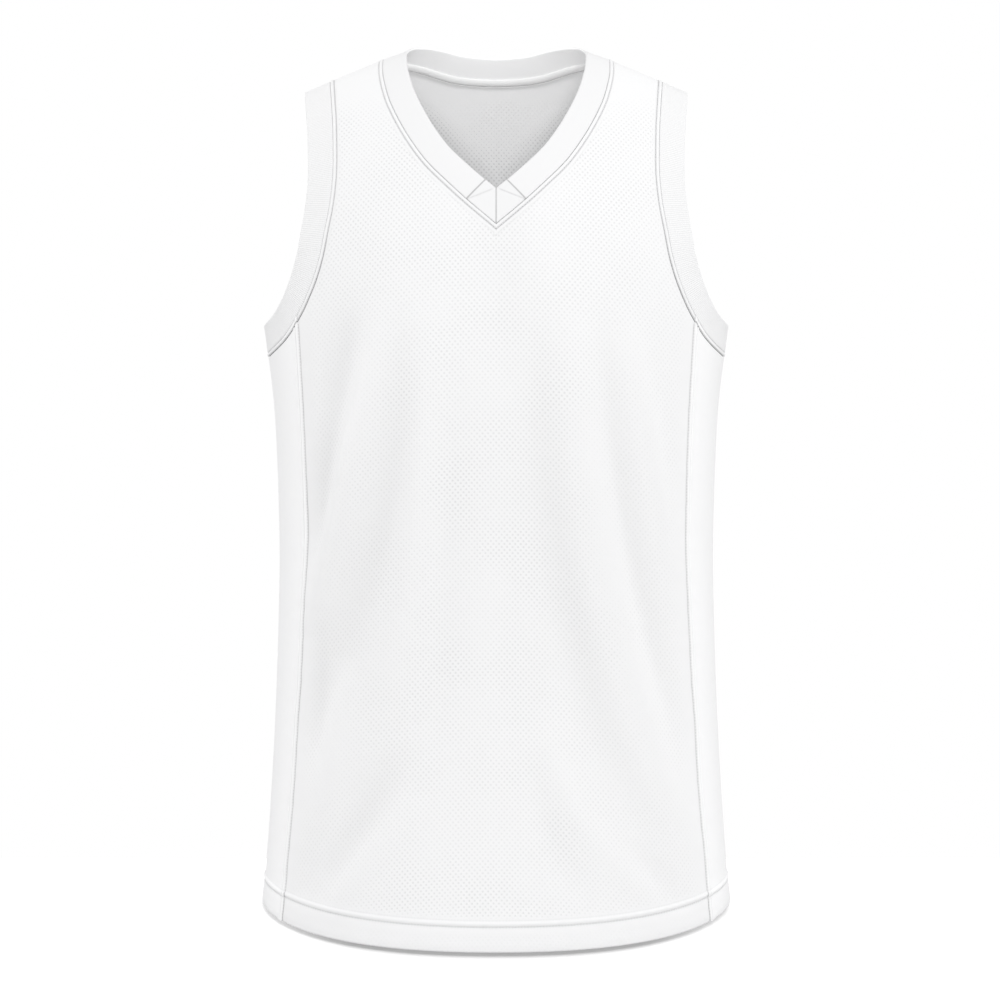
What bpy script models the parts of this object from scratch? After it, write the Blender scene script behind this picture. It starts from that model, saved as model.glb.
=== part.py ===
"""Basketball jersey in its worn shape, with nobody inside: ten sewn pieces of cloth.

Metres, +Z up, front towards -Y, the wearer's left hand at +X. The origin is midway between the
shoulders, level with the middle of the shoulder seams, where a wearer carries the garment.

One smooth form gives the outer face of the cloth. A place on it is a pair (x, q): x is the
distance from the centre line and q is the root of the drop below the shoulder line, positive
down the front and negative down the back, so that a piece can cross the shoulder smoothly.
Each piece is a closed wall raised from patches of that form.
"""

import math

import bpy
import numpy as np

# Cloth
BODY_WALL = 0.0014
BAND_WALL = 0.0020
TAPE_WALL = 0.0010
SEAM_GAP = 0.0003
# Added where two edges follow one bend in different straight steps
BEND_ROOM = 0.0003

# Shoulder line: slope, rounding at the neck, and the distance out where its height is zero
SHOULDER_SLOPE = 0.437
SHOULDER_SOFTNESS = 0.040
SHOULDER_MIDDLE = 0.1215
RIDGE_BACK = 0.010
RIDGE_FADE = 0.070

# Squareness of the horizontal sections: 2 is an ellipse
SECTION_POWER = 2.7

# height, half width at the side line
WIDTHS = (
    (-0.790, 0.2085),
    (-0.713, 0.2026),
    (-0.670, 0.1986),
    (-0.588, 0.1928),
    (-0.500, 0.1886),
    (-0.453, 0.1871),
    (-0.410, 0.1863),
    (-0.367, 0.1869),
    (-0.324, 0.1882),
    (-0.281, 0.1906),
    (-0.241, 0.1953),
    (-0.200, 0.2015),
    (-0.140, 0.2060),
    (-0.060, 0.2085),
    (0.040, 0.2090),
)

# drop below the shoulder line, depth of the front, depth of the back
PROFILE = (
    (0.003, 0.0145, 0.0145),
    (0.012, 0.0290, 0.0295),
    (0.030, 0.0475, 0.0490),
    (0.060, 0.0690, 0.0730),
    (0.100, 0.0900, 0.0940),
    (0.150, 0.1080, 0.1090),
    (0.200, 0.1190, 0.1160),
    (0.260, 0.1255, 0.1180),
    (0.350, 0.1255, 0.1120),
    (0.450, 0.1215, 0.1050),
    (0.550, 0.1195, 0.1050),
    (0.650, 0.1215, 0.1110),
    (0.740, 0.1250, 0.1170),
    (0.830, 0.1280, 0.1210),
)

# Neck seam of one half: place along it (0 at the V, 1 on the shoulder, 2 at the back centre),
# distance out, q. The last row lies past the centre, so that the line crosses it squarely.
NECK_SEAM = (
    (0.000, 0.0000, 0.4079),
    (0.051, 0.0134, 0.3930),
    (0.096, 0.0250, 0.3776),
    (0.152, 0.0382, 0.3566),
    (0.228, 0.0548, 0.3255),
    (0.338, 0.0717, 0.2793),
    (0.416, 0.0803, 0.2465),
    (0.504, 0.0877, 0.2085),
    (0.669, 0.0948, 0.1386),
    (0.850, 0.0965, 0.0640),
    (1.000, 0.0955, 0.0000),
    (1.200, 0.0895, -0.0600),
    (1.500, 0.0675, -0.1300),
    (1.750, 0.0365, -0.1900),
    (2.000, 0.0000, -0.2120),
    (2.250, -0.0365, -0.1900),
)

# Armhole seam: share of the height from the shoulder to the side line, then the distance out
# as a share of the half width, on the front and on the back
ARM_TOP = 0.1415
ARM_BOTTOM = -0.2395
ARMHOLE = (
    (0.000, 0.677, 0.677),
    (0.070, 0.668, 0.658),
    (0.150, 0.660, 0.640),
    (0.250, 0.656, 0.629),
    (0.350, 0.657, 0.628),
    (0.450, 0.670, 0.640),
    (0.550, 0.694, 0.665),
    (0.650, 0.721, 0.697),
    (0.750, 0.764, 0.744),
    (0.850, 0.828, 0.815),
    (0.930, 0.902, 0.896),
    (1.000, 1.000, 1.000),
)

# How soon the seam bends to meet the shoulder end
END_SHARPNESS = 8

# Side seams: height, distance out
SIDE_SEAM = (
    (-0.740, 0.1835),
    (-0.703, 0.1802),
    (-0.669, 0.1774),
    (-0.634, 0.1737),
    (-0.599, 0.1709),
    (-0.548, 0.1680),
    (-0.513, 0.1651),
    (-0.479, 0.1632),
    (-0.445, 0.1612),
    (-0.402, 0.1592),
    (-0.359, 0.1595),
    (-0.300, 0.1608),
    (-0.242, 0.1636),
    (-0.200, 0.1660),
)

# Bands and turned edges
ARM_BAND = 0.0240
ARM_CURL = 0.5
BAND_ROLL = 0.0006
TAPE_ROLL = 0.0003
EDGE_STRIP = 0.0043
SIDE_STRIP = 0.0030
STRIP_RISE = 0.0007
STRIP_FALL = 0.0006
INSERT_SEAM = 0.0245

# Neckband: place along the half seam (0 at the V, 1 on the shoulder, 2 at the back), width,
# how strongly it bends inwards
NECK_BAND = (
    (0.00, 0.0245, 8.0),
    (0.12, 0.0230, 8.0),
    (0.50, 0.0226, 8.0),
    (0.85, 0.0212, 8.0),
    (1.00, 0.0207, 8.0),
    (1.30, 0.0218, 3.0),
    (1.65, 0.0236, -5.0),
    (2.00, 0.0232, -6.0),
)

# Lines of a folded band: share of the width, rise, thickness
BAND_LINES = (
    (0.0, 0.0, BAND_WALL),
    (1 / 3, 0.0, BAND_WALL),
    (2 / 3, 0.0, BAND_WALL),
    (0.95, 0.0, BAND_WALL),
    (1.0, -BAND_ROLL, BAND_WALL - BAND_ROLL),
)

# Lines of the neck tape: distance from the seam, thickness
TAPE_LINES = (
    (-0.0045, TAPE_WALL),
    (-0.0018, TAPE_WALL + TAPE_ROLL),
    (0.0009, TAPE_WALL + TAPE_ROLL),
    (0.0035, TAPE_WALL),
)

# Hem: height at the side line, how much lower the centre hangs, and the softness between them
HEM_SIDE = -0.713
HEM_SAG = 0.0208
HEM_SOFT = 0.15

# height above the edge, rise of the outer face: folded hem, stitched groove, rolled ridge
HEM_LINES = (
    (0.0000, 0.0004),
    (0.0205, 0.0004),
    (0.0215, 0.0000),
    (0.0232, 0.0009),
    (0.0252, 0.0009),
    (0.0267, 0.0000),
)

# Folds, on the front and on the back: height of the upper and lower end, distance out at the
# upper end, middle and lower end, half breadth, rise (a trough is negative)
FRONT_FOLDS = (
    (-0.215, -0.435, -0.122, -0.140, -0.156, 0.013, -0.0026),
    (-0.205, -0.435, -0.100, -0.122, -0.148, 0.012, 0.0022),
    (-0.225, -0.580, -0.083, -0.115, -0.166, 0.015, -0.0032),
    (-0.500, -0.660, -0.122, -0.142, -0.162, 0.013, 0.0026),
    (-0.560, -0.705, -0.084, -0.130, -0.176, 0.016, -0.0030),
    (-0.225, -0.500, 0.092, 0.116, 0.138, 0.014, -0.0030),
    (-0.230, -0.430, 0.109, 0.130, 0.148, 0.012, 0.0022),
    (-0.280, -0.630, 0.070, 0.104, 0.158, 0.014, 0.0028),
    (-0.300, -0.660, 0.042, 0.067, 0.138, 0.015, -0.0028),
    (-0.530, -0.690, 0.043, 0.082, 0.140, 0.014, 0.0024),
)
BACK_FOLDS = (
    (-0.120, -0.330, -0.105, -0.092, -0.112, 0.016, -0.0030),
    (-0.250, -0.520, -0.128, -0.117, -0.137, 0.014, 0.0026),
    (-0.330, -0.640, -0.082, -0.105, -0.150, 0.016, -0.0032),
    (-0.480, -0.690, -0.040, -0.060, -0.100, 0.014, 0.0024),
    (-0.140, -0.350, 0.098, 0.086, 0.110, 0.016, -0.0028),
    (-0.270, -0.560, 0.120, 0.110, 0.142, 0.014, 0.0026),
    (-0.380, -0.670, 0.070, 0.098, 0.146, 0.015, -0.0032),
    (-0.420, -0.600, 0.020, 0.030, 0.052, 0.013, -0.0022),
)
FOLD_TAPER = 1.5
FOLD_CALM = (0.86, 0.97)

# Mesh fineness
BODY_ROWS = 18
CHEST_ROWS = 20
FRONT_ROWS_TO_V = 6
BACK_ROWS_TO_NECK = 12
PANEL_COLUMNS = 10
SIDE_COLUMNS = 12
SIDE_ROWS = 15
ARM_BAND_STEPS = 48
NECK_BAND_STEPS = 13
INSERT_STEPS = 3
CHEST_LEVEL = -0.212

# Tolerances of the working
V_SPAN = (-0.2, 0.6)
UNDERARM_SPAN = (0.55, 1.45)
SHARP_ANGLE = math.radians(50)
NUDGE = 1e-4
NEAR_RIDGE = 0.25
FINE = 300
SETTLE = 25
WELD = 1e-6

ROUGHNESS = 0.85
COLOURS = {
    "mesh_knit": (0.90, 0.90, 0.91, 1.0),
    "smooth_knit": (0.92, 0.92, 0.93, 1.0),
    "rib_knit": (0.91, 0.91, 0.92, 1.0),
    "tape": (0.90, 0.90, 0.90, 1.0),
}


class Smooth:
    """A smooth curve through the rows of a short table, straight beyond its ends."""

    def __init__(self, rows, column):
        self.at = np.array([row[0] for row in rows])
        self.value = np.array([row[column] for row in rows])
        step = np.diff(self.at)
        slope = np.diff(self.value) / step
        inner = (slope[:-1] * step[1:] + slope[1:] * step[:-1]) / (step[1:] + step[:-1])
        first = 1.5 * slope[0] - 0.5 * inner[0]
        last = 1.5 * slope[-1] - 0.5 * inner[-1]
        self.tangent = np.concatenate([[first], inner, [last]])

    def __call__(self, where):
        where = np.asarray(where, float)
        inside = np.clip(where, self.at[0], self.at[-1])
        i = np.clip(np.searchsorted(self.at, inside, side="right") - 1, 0, len(self.at) - 2)
        width = self.at[i + 1] - self.at[i]
        t = (inside - self.at[i]) / width
        curve = self.value[i] * (1 + 2 * t) * (1 - t) ** 2
        curve += self.tangent[i] * width * t * (1 - t) ** 2
        curve += self.value[i + 1] * t * t * (3 - 2 * t)
        curve += self.tangent[i + 1] * width * t * t * (t - 1)
        beyond = np.where(where < self.at[0], self.tangent[0], self.tangent[-1])
        return curve + (where - inside) * beyond


def rooted(profile):
    """The profile's depths against q: the back first, then the ridge, then the front."""
    back = [(-math.sqrt(drop), depth) for drop, _, depth in reversed(profile)]
    front = [(math.sqrt(drop), -depth) for drop, depth, _ in profile]
    return back + [(0.0, 0.0)] + front


half_width = Smooth(WIDTHS, 1)
depth_at = Smooth(rooted(PROFILE), 1)
neck_out = Smooth(NECK_SEAM, 1)
neck_root = Smooth(NECK_SEAM, 2)
arm_out = {1: Smooth(ARMHOLE, 1), -1: Smooth(ARMHOLE, 2)}
side_out = Smooth(SIDE_SEAM, 1)
neck_width = Smooth(NECK_BAND, 1)
neck_curl = Smooth(NECK_BAND, 2)


def lerp(a, b, share):
    return a + (b - a) * share


def ease(low, high, value):
    """0 below low, 1 above high, and smooth between."""
    t = np.clip((value - low) / (high - low), 0, 1)
    return t * t * (3 - 2 * t)


def unit(vector):
    return vector / np.linalg.norm(vector, axis=-1, keepdims=True)


# The form


def ridge(x):
    """Height of the shoulder line."""
    return SHOULDER_SLOPE * (
        math.hypot(SHOULDER_MIDDLE, SHOULDER_SOFTNESS) - np.hypot(x, SHOULDER_SOFTNESS)
    )


def height(x, q):
    return ridge(x) - q * q


def root_drop(x, z, face):
    """The q of a height, on the front (face 1) or the back (face -1)."""
    return face * np.sqrt(np.maximum(ridge(x) - z, 0))


def bare(x, q):
    """The form without its folds."""
    z = height(x, q)
    share = np.clip(np.abs(x) / half_width(z), 0, 1)
    y = RIDGE_BACK * np.exp(-q * q / RIDGE_FADE)
    y = y + depth_at(q) * np.sqrt(1 - share**SECTION_POWER)
    return np.stack(np.broadcast_arrays(x, y, z), axis=-1)


def ringed(angle, z, face):
    """The form at an angle from the centre line: a quarter turn is the side line."""
    x = half_width(z) * np.sin(angle)
    past = np.where(np.cos(angle) < 0, -face, face)
    return x, root_drop(x, z, past)


def spans(x, q):
    """Two tangents of the form, the coordinates they belong to and the outward normal."""
    face = np.where(q < 0, -1, 1)
    z = height(x, q)
    angle = np.arcsin(np.clip(x / half_width(z), -1, 1))
    by_x = (bare(x + NUDGE, q) - bare(x - NUDGE, q)) / (2 * NUDGE)
    by_q = (bare(x, q + NUDGE) - bare(x, q - NUDGE)) / (2 * NUDGE)
    by_angle = bare(*ringed(angle + NUDGE, z, face)) - bare(*ringed(angle - NUDGE, z, face))
    by_height = bare(*ringed(angle, z + NUDGE, face)) - bare(*ringed(angle, z - NUDGE, face))
    close = (np.abs(q) < NEAR_RIDGE)[..., None]
    first = np.where(close, by_x, by_angle / (2 * NUDGE))
    second = np.where(close, by_q, by_height / (2 * NUDGE))
    outward = np.where(close, -1, face[..., None]) * np.cross(first, second)
    return first, second, unit(outward)


def fold_rise(x, q):
    """How far the folds lift the cloth. They calm down towards the side line."""
    z = height(x, q)
    total = np.zeros(np.shape(z))
    for face, folds in ((1, FRONT_FOLDS), (-1, BACK_FOLDS)):
        for upper, lower, top, middle, bottom, breadth, rise in folds:
            v = (z - upper) / (lower - upper)
            bend = 2 * (top + bottom - 2 * middle)
            path = top + (4 * middle - 3 * top - bottom) * v + bend * v * v
            lean = (4 * middle - 3 * top - bottom + 2 * bend * v) / (lower - upper)
            away = (x - path) / np.hypot(1, lean) / breadth
            along = np.sin(math.pi * np.clip(v, 0, 1)) ** FOLD_TAPER
            total = total + np.where(q * face > 0, rise * np.exp(-away * away) * along, 0)
    return total * (1 - ease(*FOLD_CALM, np.abs(x) / half_width(z)))


def place(x, q):
    """Points and outward normals of the cloth's outer face."""
    x, q = np.broadcast_arrays(np.asarray(x, float), np.asarray(q, float))
    normal = spans(x, q)[2]
    return bare(x, q) + normal * fold_rise(x, q)[..., None], normal


def shift(x, q, step):
    """Where a short tangent step leads."""
    first, second, _ = spans(x, q)
    a = np.sum(first * first, -1)
    b = np.sum(first * second, -1)
    c = np.sum(second * second, -1)
    u = np.sum(first * step, -1)
    v = np.sum(second * step, -1)
    along_first = (u * c - v * b) / (a * c - b * b)
    along_second = (v * a - u * b) / (a * c - b * b)
    face = np.where(q < 0, -1, 1)
    z = height(x, q)
    angle = np.arcsin(np.clip(x / half_width(z), -1, 1))
    ring_x, ring_q = ringed(angle + along_first, z + along_second, face)
    close = np.abs(q) < NEAR_RIDGE
    return np.where(close, x + along_first, ring_x), np.where(close, q + along_second, ring_q)


# Seam lines


def neck_line(s):
    """Neck seam of the +X half."""
    return neck_out(s), neck_root(s)


def arm_line(s):
    """Armhole seam at +X: s is 0 on the shoulder, 1 at the side line, then up the back to 2."""
    top = ridge(ARM_TOP)
    share = (1 - np.cos(s * math.pi)) / 2
    z = lerp(top, ARM_BOTTOM, share)
    on_front = np.mod(s, 2) <= 1
    out = np.where(on_front, arm_out[1](share), arm_out[-1](share))
    ends = ARM_TOP / half_width(top) - ARMHOLE[0][1]
    x = (out + ends * (1 - share) ** END_SHARPNESS) * half_width(z)
    return x, root_drop(x, z, np.where(on_front, 1, -1))


def beside(line, s, distance):
    """The seam line moved sideways over the form: positive into the opening."""
    x, q = line(s)
    ahead, _ = place(*line(s + NUDGE))
    behind, _ = place(*line(s - NUDGE))
    _, normal = place(x, q)
    across = unit(np.cross(normal, unit(ahead - behind)))
    return shift(x, q, across * np.asarray(distance)[..., None])


def crossing(values, wanted, s):
    """The s at which the sampled values first pass the wanted one."""
    sign = np.sign(values - wanted)
    i = int(np.argmax(sign[:-1] != sign[1:]))
    share = (wanted - values[i]) / (values[i + 1] - values[i])
    return float(lerp(s[i], s[i + 1], share))


def evenly(line, start, end, count, distance=0.0):
    """Values of s at even steps along a line beside the seam."""
    s = np.linspace(start, end, FINE)
    points, _ = place(*beside(line, s, distance))
    run = np.concatenate([[0], np.cumsum(np.linalg.norm(np.diff(points, axis=0), axis=1))])
    return np.interp(np.linspace(0, run[-1], count + 1), run, s)


def hem_height(x):
    """Height of the hem's edge: lowest at the centre of the front and the back."""
    share = np.clip(np.abs(x) / half_width(HEM_SIDE), 0, 1)
    level = np.sqrt(1 - share * share + HEM_SOFT**2) - HEM_SOFT
    return HEM_SIDE - HEM_SAG * level / (math.hypot(1, HEM_SOFT) - HEM_SOFT)


def side_angle(z, face, distance):
    """Ring angle of the side seam, moved over the cloth towards the side line."""
    angle = np.arcsin(side_out(z) / half_width(z))
    step = bare(*ringed(angle + NUDGE, z, face)) - bare(*ringed(angle - NUDGE, z, face))
    return angle + distance * 2 * NUDGE / np.linalg.norm(step, axis=-1)


def side_line(z, face, distance):
    """(x, q) of the side seam, moved over the cloth towards the side line."""
    return ringed(side_angle(z, face, distance), z, face)


# Walls


class Wall:
    """Patches of one piece, welded where they meet and closed into a wall of cloth."""

    def __init__(self):
        self.index = {}
        self.outer = []
        self.inner = []
        self.faces = []

    def vertex(self, point, normal, rise, thickness):
        key = tuple(np.round(point / WELD).astype(int))
        if key not in self.index:
            self.index[key] = len(self.outer)
            self.outer.append(point + normal * rise)
            self.inner.append(point - normal * thickness)
        return self.index[key]

    def add(self, points, normals, rise, thickness, mirror=False):
        """A patch of rows and columns, with the rise and thickness of each point."""
        rows, columns = points.shape[:2]
        rise = np.broadcast_to(rise, (rows, columns))
        thickness = np.broadcast_to(thickness, (rows, columns))
        flip = np.array([-1.0 if mirror else 1.0, 1.0, 1.0])
        points = points * flip
        normals = normals * flip
        grid = np.empty((rows, columns), int)
        for i in range(rows):
            for j in range(columns):
                grid[i, j] = self.vertex(points[i, j], normals[i, j], rise[i, j], thickness[i, j])
        for i in range(rows - 1):
            for j in range(columns - 1):
                across = points[i + 1, j + 1] - points[i, j]
                back = points[i + 1, j] - points[i, j + 1]
                corners = [grid[i, j], grid[i, j + 1], grid[i + 1, j + 1], grid[i + 1, j]]
                if np.dot(np.cross(across, back), normals[i, j]) < 0:
                    corners.reverse()
                once = [c for k, c in enumerate(corners) if c != corners[k - 1]]
                if len(once) > 2:
                    self.faces.append(once)

    def build(self, name, colour):
        count = len(self.outer)
        faces = [list(face) for face in self.faces]
        faces += [[corner + count for corner in reversed(face)] for face in self.faces]
        edges = {(face[k - 1], face[k]) for face in self.faces for k in range(len(face))}
        for a, b in sorted(edges):
            if (b, a) not in edges:
                faces.append([b, a, a + count, b + count])
        mesh = bpy.data.meshes.new(name)
        mesh.from_pydata([tuple(point) for point in self.outer + self.inner], [], faces)
        mesh.update()
        mesh.shade_smooth()
        mesh.set_sharp_from_angle(angle=SHARP_ANGLE)
        mesh.materials.append(finish(colour))
        piece = bpy.data.objects.new(name, mesh)
        bpy.context.scene.collection.objects.link(piece)
        return piece


def finish(colour):
    """The plain finish of one kind of cloth."""
    material = bpy.data.materials.get(colour)
    if material is None:
        material = bpy.data.materials.new(colour)
        material.use_nodes = True
        shader = material.node_tree.nodes["Principled BSDF"]
        shader.inputs["Base Color"].default_value = COLOURS[colour]
        shader.inputs["Roughness"].default_value = ROUGHNESS
        shader.inputs["Metallic"].default_value = 0.0
    return material


def edge_lines(width):
    """Lines of a turned edge beside a seam: distance from the seam, rise."""
    return (
        (SEAM_GAP / 2, STRIP_RISE),
        (width - STRIP_FALL, STRIP_RISE),
        (width, 0.0),
    )


def held_off_ridge(q, face):
    """Keeps a shoulder edge half a seam gap away from the shoulder line."""
    slope = abs(depth_at(NUDGE) - depth_at(-NUDGE)) / (2 * NUDGE)
    return face * np.maximum(np.abs(q), SEAM_GAP / 2 / slope)


def neck_edges(face, steps):
    """(x, q) along each line of the turned neck edge, from the centre line to the shoulder."""
    lines = []
    for distance, _ in edge_lines(EDGE_STRIP):
        start = 2.0
        if face > 0:
            s = np.linspace(*V_SPAN, FINE)
            start = crossing(beside(neck_line, s, -distance)[0], 0, s)
        s = evenly(neck_line, start, 1.0, steps, -distance)
        x, q = beside(neck_line, s, -distance)
        x[0] = 0.0
        q[-1] = 0.0
        lines.append((x, held_off_ridge(q, face)))
    return lines


def arm_edges(face, steps):
    """(x, q) along each line of the turned armhole edge, from the side seam to the shoulder."""
    lines = []
    for distance, _ in edge_lines(EDGE_STRIP):
        s = np.linspace(1.0, 0.0, FINE) if face > 0 else np.linspace(1.0, 2.0, FINE)
        x, q = beside(arm_line, s, -distance)
        seam_x, _ = side_line(height(x, q), face, -SEAM_GAP / 2)
        start = crossing(x - seam_x, 0, s)
        s = evenly(arm_line, start, s[-1], steps, -distance)
        x, q = beside(arm_line, s, -distance)
        q[-1] = 0.0
        lines.append((x, held_off_ridge(q, face)))
    return lines


def panel(name, face, rows_to_neck):
    """Front or back: a grid between the centre line and the sides, with its turned edges."""
    wall = Wall()
    neck = neck_edges(face, CHEST_ROWS - rows_to_neck)
    arm = arm_edges(face, CHEST_ROWS)
    rises = np.array([rise for _, rise in edge_lines(EDGE_STRIP)])
    for lines in (neck, arm):
        x = np.stack([line[0] for line in lines], axis=-1)
        q = np.stack([line[1] for line in lines], axis=-1)
        for mirror in (False, True):
            wall.add(*mirrored(x, q, mirror), rises, BODY_WALL, mirror)

    neck_x, neck_q = neck[-1]
    arm_x, arm_q = arm[-1]
    corner = float(height(arm_x[0], arm_q[0]))
    point = float(height(neck_x[0], neck_q[0]))
    rows = []
    for above, rise in HEM_LINES:
        rows.append(hem_row(above, rise, face))
    top = HEM_LINES[-1][0]
    for i in range(1, BODY_ROWS):
        share = i / BODY_ROWS
        inner_z = lerp(hem_height(0) + top, CHEST_LEVEL, share)
        outer_z = lerp(side_foot(face) + top, corner, share)
        outer = side_line(outer_z, face, -SEAM_GAP / 2)
        rows.append((0.0, inner_z, float(outer[0]), outer_z, 1 - share, 0.0, 0.0))
    for i in range(CHEST_ROWS + 1):
        share = min(1, i / rows_to_neck)
        if i < rows_to_neck:
            inner_x, inner_z = 0.0, lerp(CHEST_LEVEL, point, share)
        else:
            inner_x = float(neck_x[i - rows_to_neck])
            inner_z = float(height(inner_x, neck_q[i - rows_to_neck]))
        outer_z = float(height(arm_x[i], arm_q[i]))
        rows.append((inner_x, inner_z, float(arm_x[i]), outer_z, 0.0, share, 0.0))

    across = np.linspace(0, 1, PANEL_COLUMNS + 1)
    x, q, rise = [], [], []
    for inner_x, inner_z, outer_x, outer_z, hemmed, draped, up in rows:
        row_x = lerp(inner_x, outer_x, across)
        sag = hem_height(row_x) - lerp(hem_height(inner_x), hem_height(outer_x), across)
        level = lerp(inner_z, outer_z, across) + hemmed * sag
        drop = lerp(ridge(inner_x) - inner_z, ridge(outer_x) - outer_z, across)
        z = lerp(level, ridge(row_x) - drop, draped)
        x.append(row_x)
        q.append(root_drop(row_x, z, face))
        rise.append(np.full(len(across), up))
    for mirror in (False, True):
        wall.add(*mirrored(np.array(x), np.array(q), mirror), np.array(rise), BODY_WALL, mirror)
    return wall.build(name, "mesh_knit")


def mirrored(x, q, mirror):
    """Points and normals for one half. A mirrored half keeps its own folds."""
    points, normals = place(-x if mirror else x, q)
    flip = np.array([-1.0 if mirror else 1.0, 1.0, 1.0])
    return points * flip, normals * flip


def side_foot(face):
    """Height of the hem's edge at the side seam."""
    z = HEM_SIDE
    for _ in range(SETTLE):
        z = float(hem_height(side_line(z, face, 0.0)[0]))
    return z


def hem_row(above, rise, face):
    """A row of the panel that follows the hem's edge."""
    outer_z = side_foot(face) + above
    outer = side_line(outer_z, face, -SEAM_GAP / 2)
    return (0.0, float(hem_height(0)) + above, float(outer[0]), outer_z, 1.0, 0.0, rise)


def side_panel(name, mirror):
    """Wraps under the arm from one side seam to the other, hem to armhole."""
    strip = edge_lines(SIDE_STRIP)
    columns = [(0.0, distance, rise) for distance, rise in strip]
    columns += [(i / SIDE_COLUMNS, lerp(SIDE_STRIP, -SIDE_STRIP, i / SIDE_COLUMNS), 0.0)
                for i in range(1, SIDE_COLUMNS)]
    columns += [(1.0, -distance, rise) for distance, rise in reversed(strip)]
    top = []
    for distance, rise in reversed(edge_lines(EDGE_STRIP)):
        s = np.linspace(*UNDERARM_SPAN, FINE)
        x, q = beside(arm_line, s, -distance)
        angle = np.arcsin(np.clip(x / half_width(height(x, q)), -1, 1))
        top.append((np.where(q < 0, math.pi - angle, angle), height(x, q), rise))
    rows = [("hem", above, rise) for above, rise in HEM_LINES]
    rows += [("body", i / SIDE_ROWS, 0.0) for i in range(1, SIDE_ROWS)]
    rows += [("top", k, top[k][2]) for k in range(len(top))]
    share, distance, column_rise = (np.array(values) for values in zip(*columns))
    x, q, rises = [], [], []
    for kind, amount, row_rise in rows:
        z = np.full(len(columns), HEM_SIDE)
        for _ in range(SETTLE):
            front = side_angle(z, 1, 0.0)
            back = math.pi - side_angle(z, -1, 0.0)
            front_step = (side_angle(z, 1, NUDGE) - front) / NUDGE
            back_step = (side_angle(z, -1, NUDGE) - (math.pi - back)) / NUDGE
            angle = lerp(front, back, share) + distance * lerp(front_step, back_step, share)
            foot = hem_height(half_width(z) * np.sin(angle))
            if kind == "hem":
                z = foot + amount
            elif kind == "top":
                z = np.interp(angle, top[amount][0], top[amount][1])
            else:
                ceiling = np.interp(angle, top[0][0], top[0][1])
                z = lerp(foot + HEM_LINES[-1][0], ceiling, amount)
        row_x, row_q = ringed(angle, z, 1)
        x.append(row_x)
        q.append(row_q)
        rises.append(np.maximum(column_rise, row_rise))
    wall = Wall()
    wall.add(*mirrored(np.array(x), np.array(q), mirror), np.array(rises), BODY_WALL, mirror)
    return wall.build(name, "smooth_knit")


def band_distance(share, width):
    """Distance from the seam line of a share of a band's width."""
    return lerp(SEAM_GAP / 2 + BEND_ROOM, width, share)


def band_surface(line, s, width, curl):
    """Points and normals of a band that goes on from the cloth beside its seam."""
    x, q = line(s)
    point, normal = place(x, q)
    ahead, _ = place(*line(s + NUDGE))
    behind, _ = place(*line(s - NUDGE))
    across = unit(np.cross(normal, unit(ahead - behind)))
    width = np.asarray(width)[..., None]
    curl = np.asarray(curl)[..., None]
    bent = point + across * width - normal * curl * width**2 / 2
    return bent, unit(normal + across * curl * width)


def band_patch(line, width, curl, rows):
    """Points and normals of a band: each of its lines has its share of the width and its s."""
    parts = [band_surface(line, s, band_distance(share, width(s)), curl(s)) for share, s in rows]
    return tuple(np.stack([part[k] for part in parts], axis=1) for k in (0, 1))


def insert_start(share):
    """The s at which a line of the insert leaves the middle seam."""
    s = np.linspace(*V_SPAN, FINE)
    points, _ = band_surface(neck_line, s, band_distance(share, neck_width(s)), neck_curl(s))
    return crossing(points[:, 0], SEAM_GAP / 2, s)


def insert_end():
    """The s at which the insert meets the neckband."""
    s = np.linspace(*V_SPAN, FINE)
    return crossing(neck_line(s)[0], INSERT_SEAM, s)


def gap_share():
    """A seam gap as a step of s beside the V insert."""
    end = insert_end()
    points, _ = place(*neck_line(np.array([end, end + NUDGE])))
    return NUDGE * SEAM_GAP / float(np.linalg.norm(points[1] - points[0]))


def band_values():
    """Rise and thickness of each line of a band."""
    return tuple(np.array([line[k] for line in BAND_LINES]) for k in (1, 2))


def on_centre(points, normals, row, plane):
    """Sets one row of a patch on a plane beside the centre line."""
    points[row, :, 0] = plane
    normals[row, :, 0] = 0.0
    return points, unit(normals)


def back_neck_steps():
    """Values of s from the shoulder to the back centre, as on the back panel's neck edge."""
    return evenly(neck_line, 1.0, 2.0, CHEST_ROWS - BACK_ROWS_TO_NECK)


def neckband():
    """Runs from the V insert round the back of the neck to the V insert."""
    wall = Wall()
    front = evenly(neck_line, insert_end() + gap_share(), 1.0, NECK_BAND_STEPS)
    s = np.concatenate([front[:-1], back_neck_steps()])
    rows = [(share, s) for share, _, _ in BAND_LINES]
    points, normals = on_centre(*band_patch(neck_line, neck_width, neck_curl, rows), -1, 0.0)
    for mirror in (False, True):
        wall.add(points, normals, *band_values(), mirror)
    return wall.build("neckband", "smooth_knit")


def v_insert(name, mirror):
    """One mitred half of the insert that closes the V."""
    end = insert_end()
    rows = [(share, np.linspace(insert_start(share), end, INSERT_STEPS + 1))
            for share, _, _ in BAND_LINES]
    points, normals = on_centre(*band_patch(neck_line, neck_width, neck_curl, rows), 0, SEAM_GAP / 2)
    wall = Wall()
    wall.add(points, normals, *band_values(), mirror)
    return wall.build(name, "smooth_knit")


def arm_width(s):
    """The same width all round."""
    return np.full(np.shape(s), ARM_BAND)


def arm_curl(s):
    """The same slight bend all round."""
    return np.full(np.shape(s), ARM_CURL)


def armhole_band(name, mirror):
    """A closed loop round the armhole."""
    s = evenly(arm_line, 0.0, 2.0, ARM_BAND_STEPS)
    rows = [(share, s) for share, _, _ in BAND_LINES]
    points, normals = band_patch(arm_line, arm_width, arm_curl, rows)
    points[-1] = points[0]
    normals[-1] = normals[0]
    wall = Wall()
    wall.add(points, normals, *band_values(), mirror)
    return wall.build(name, "rib_knit")


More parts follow.
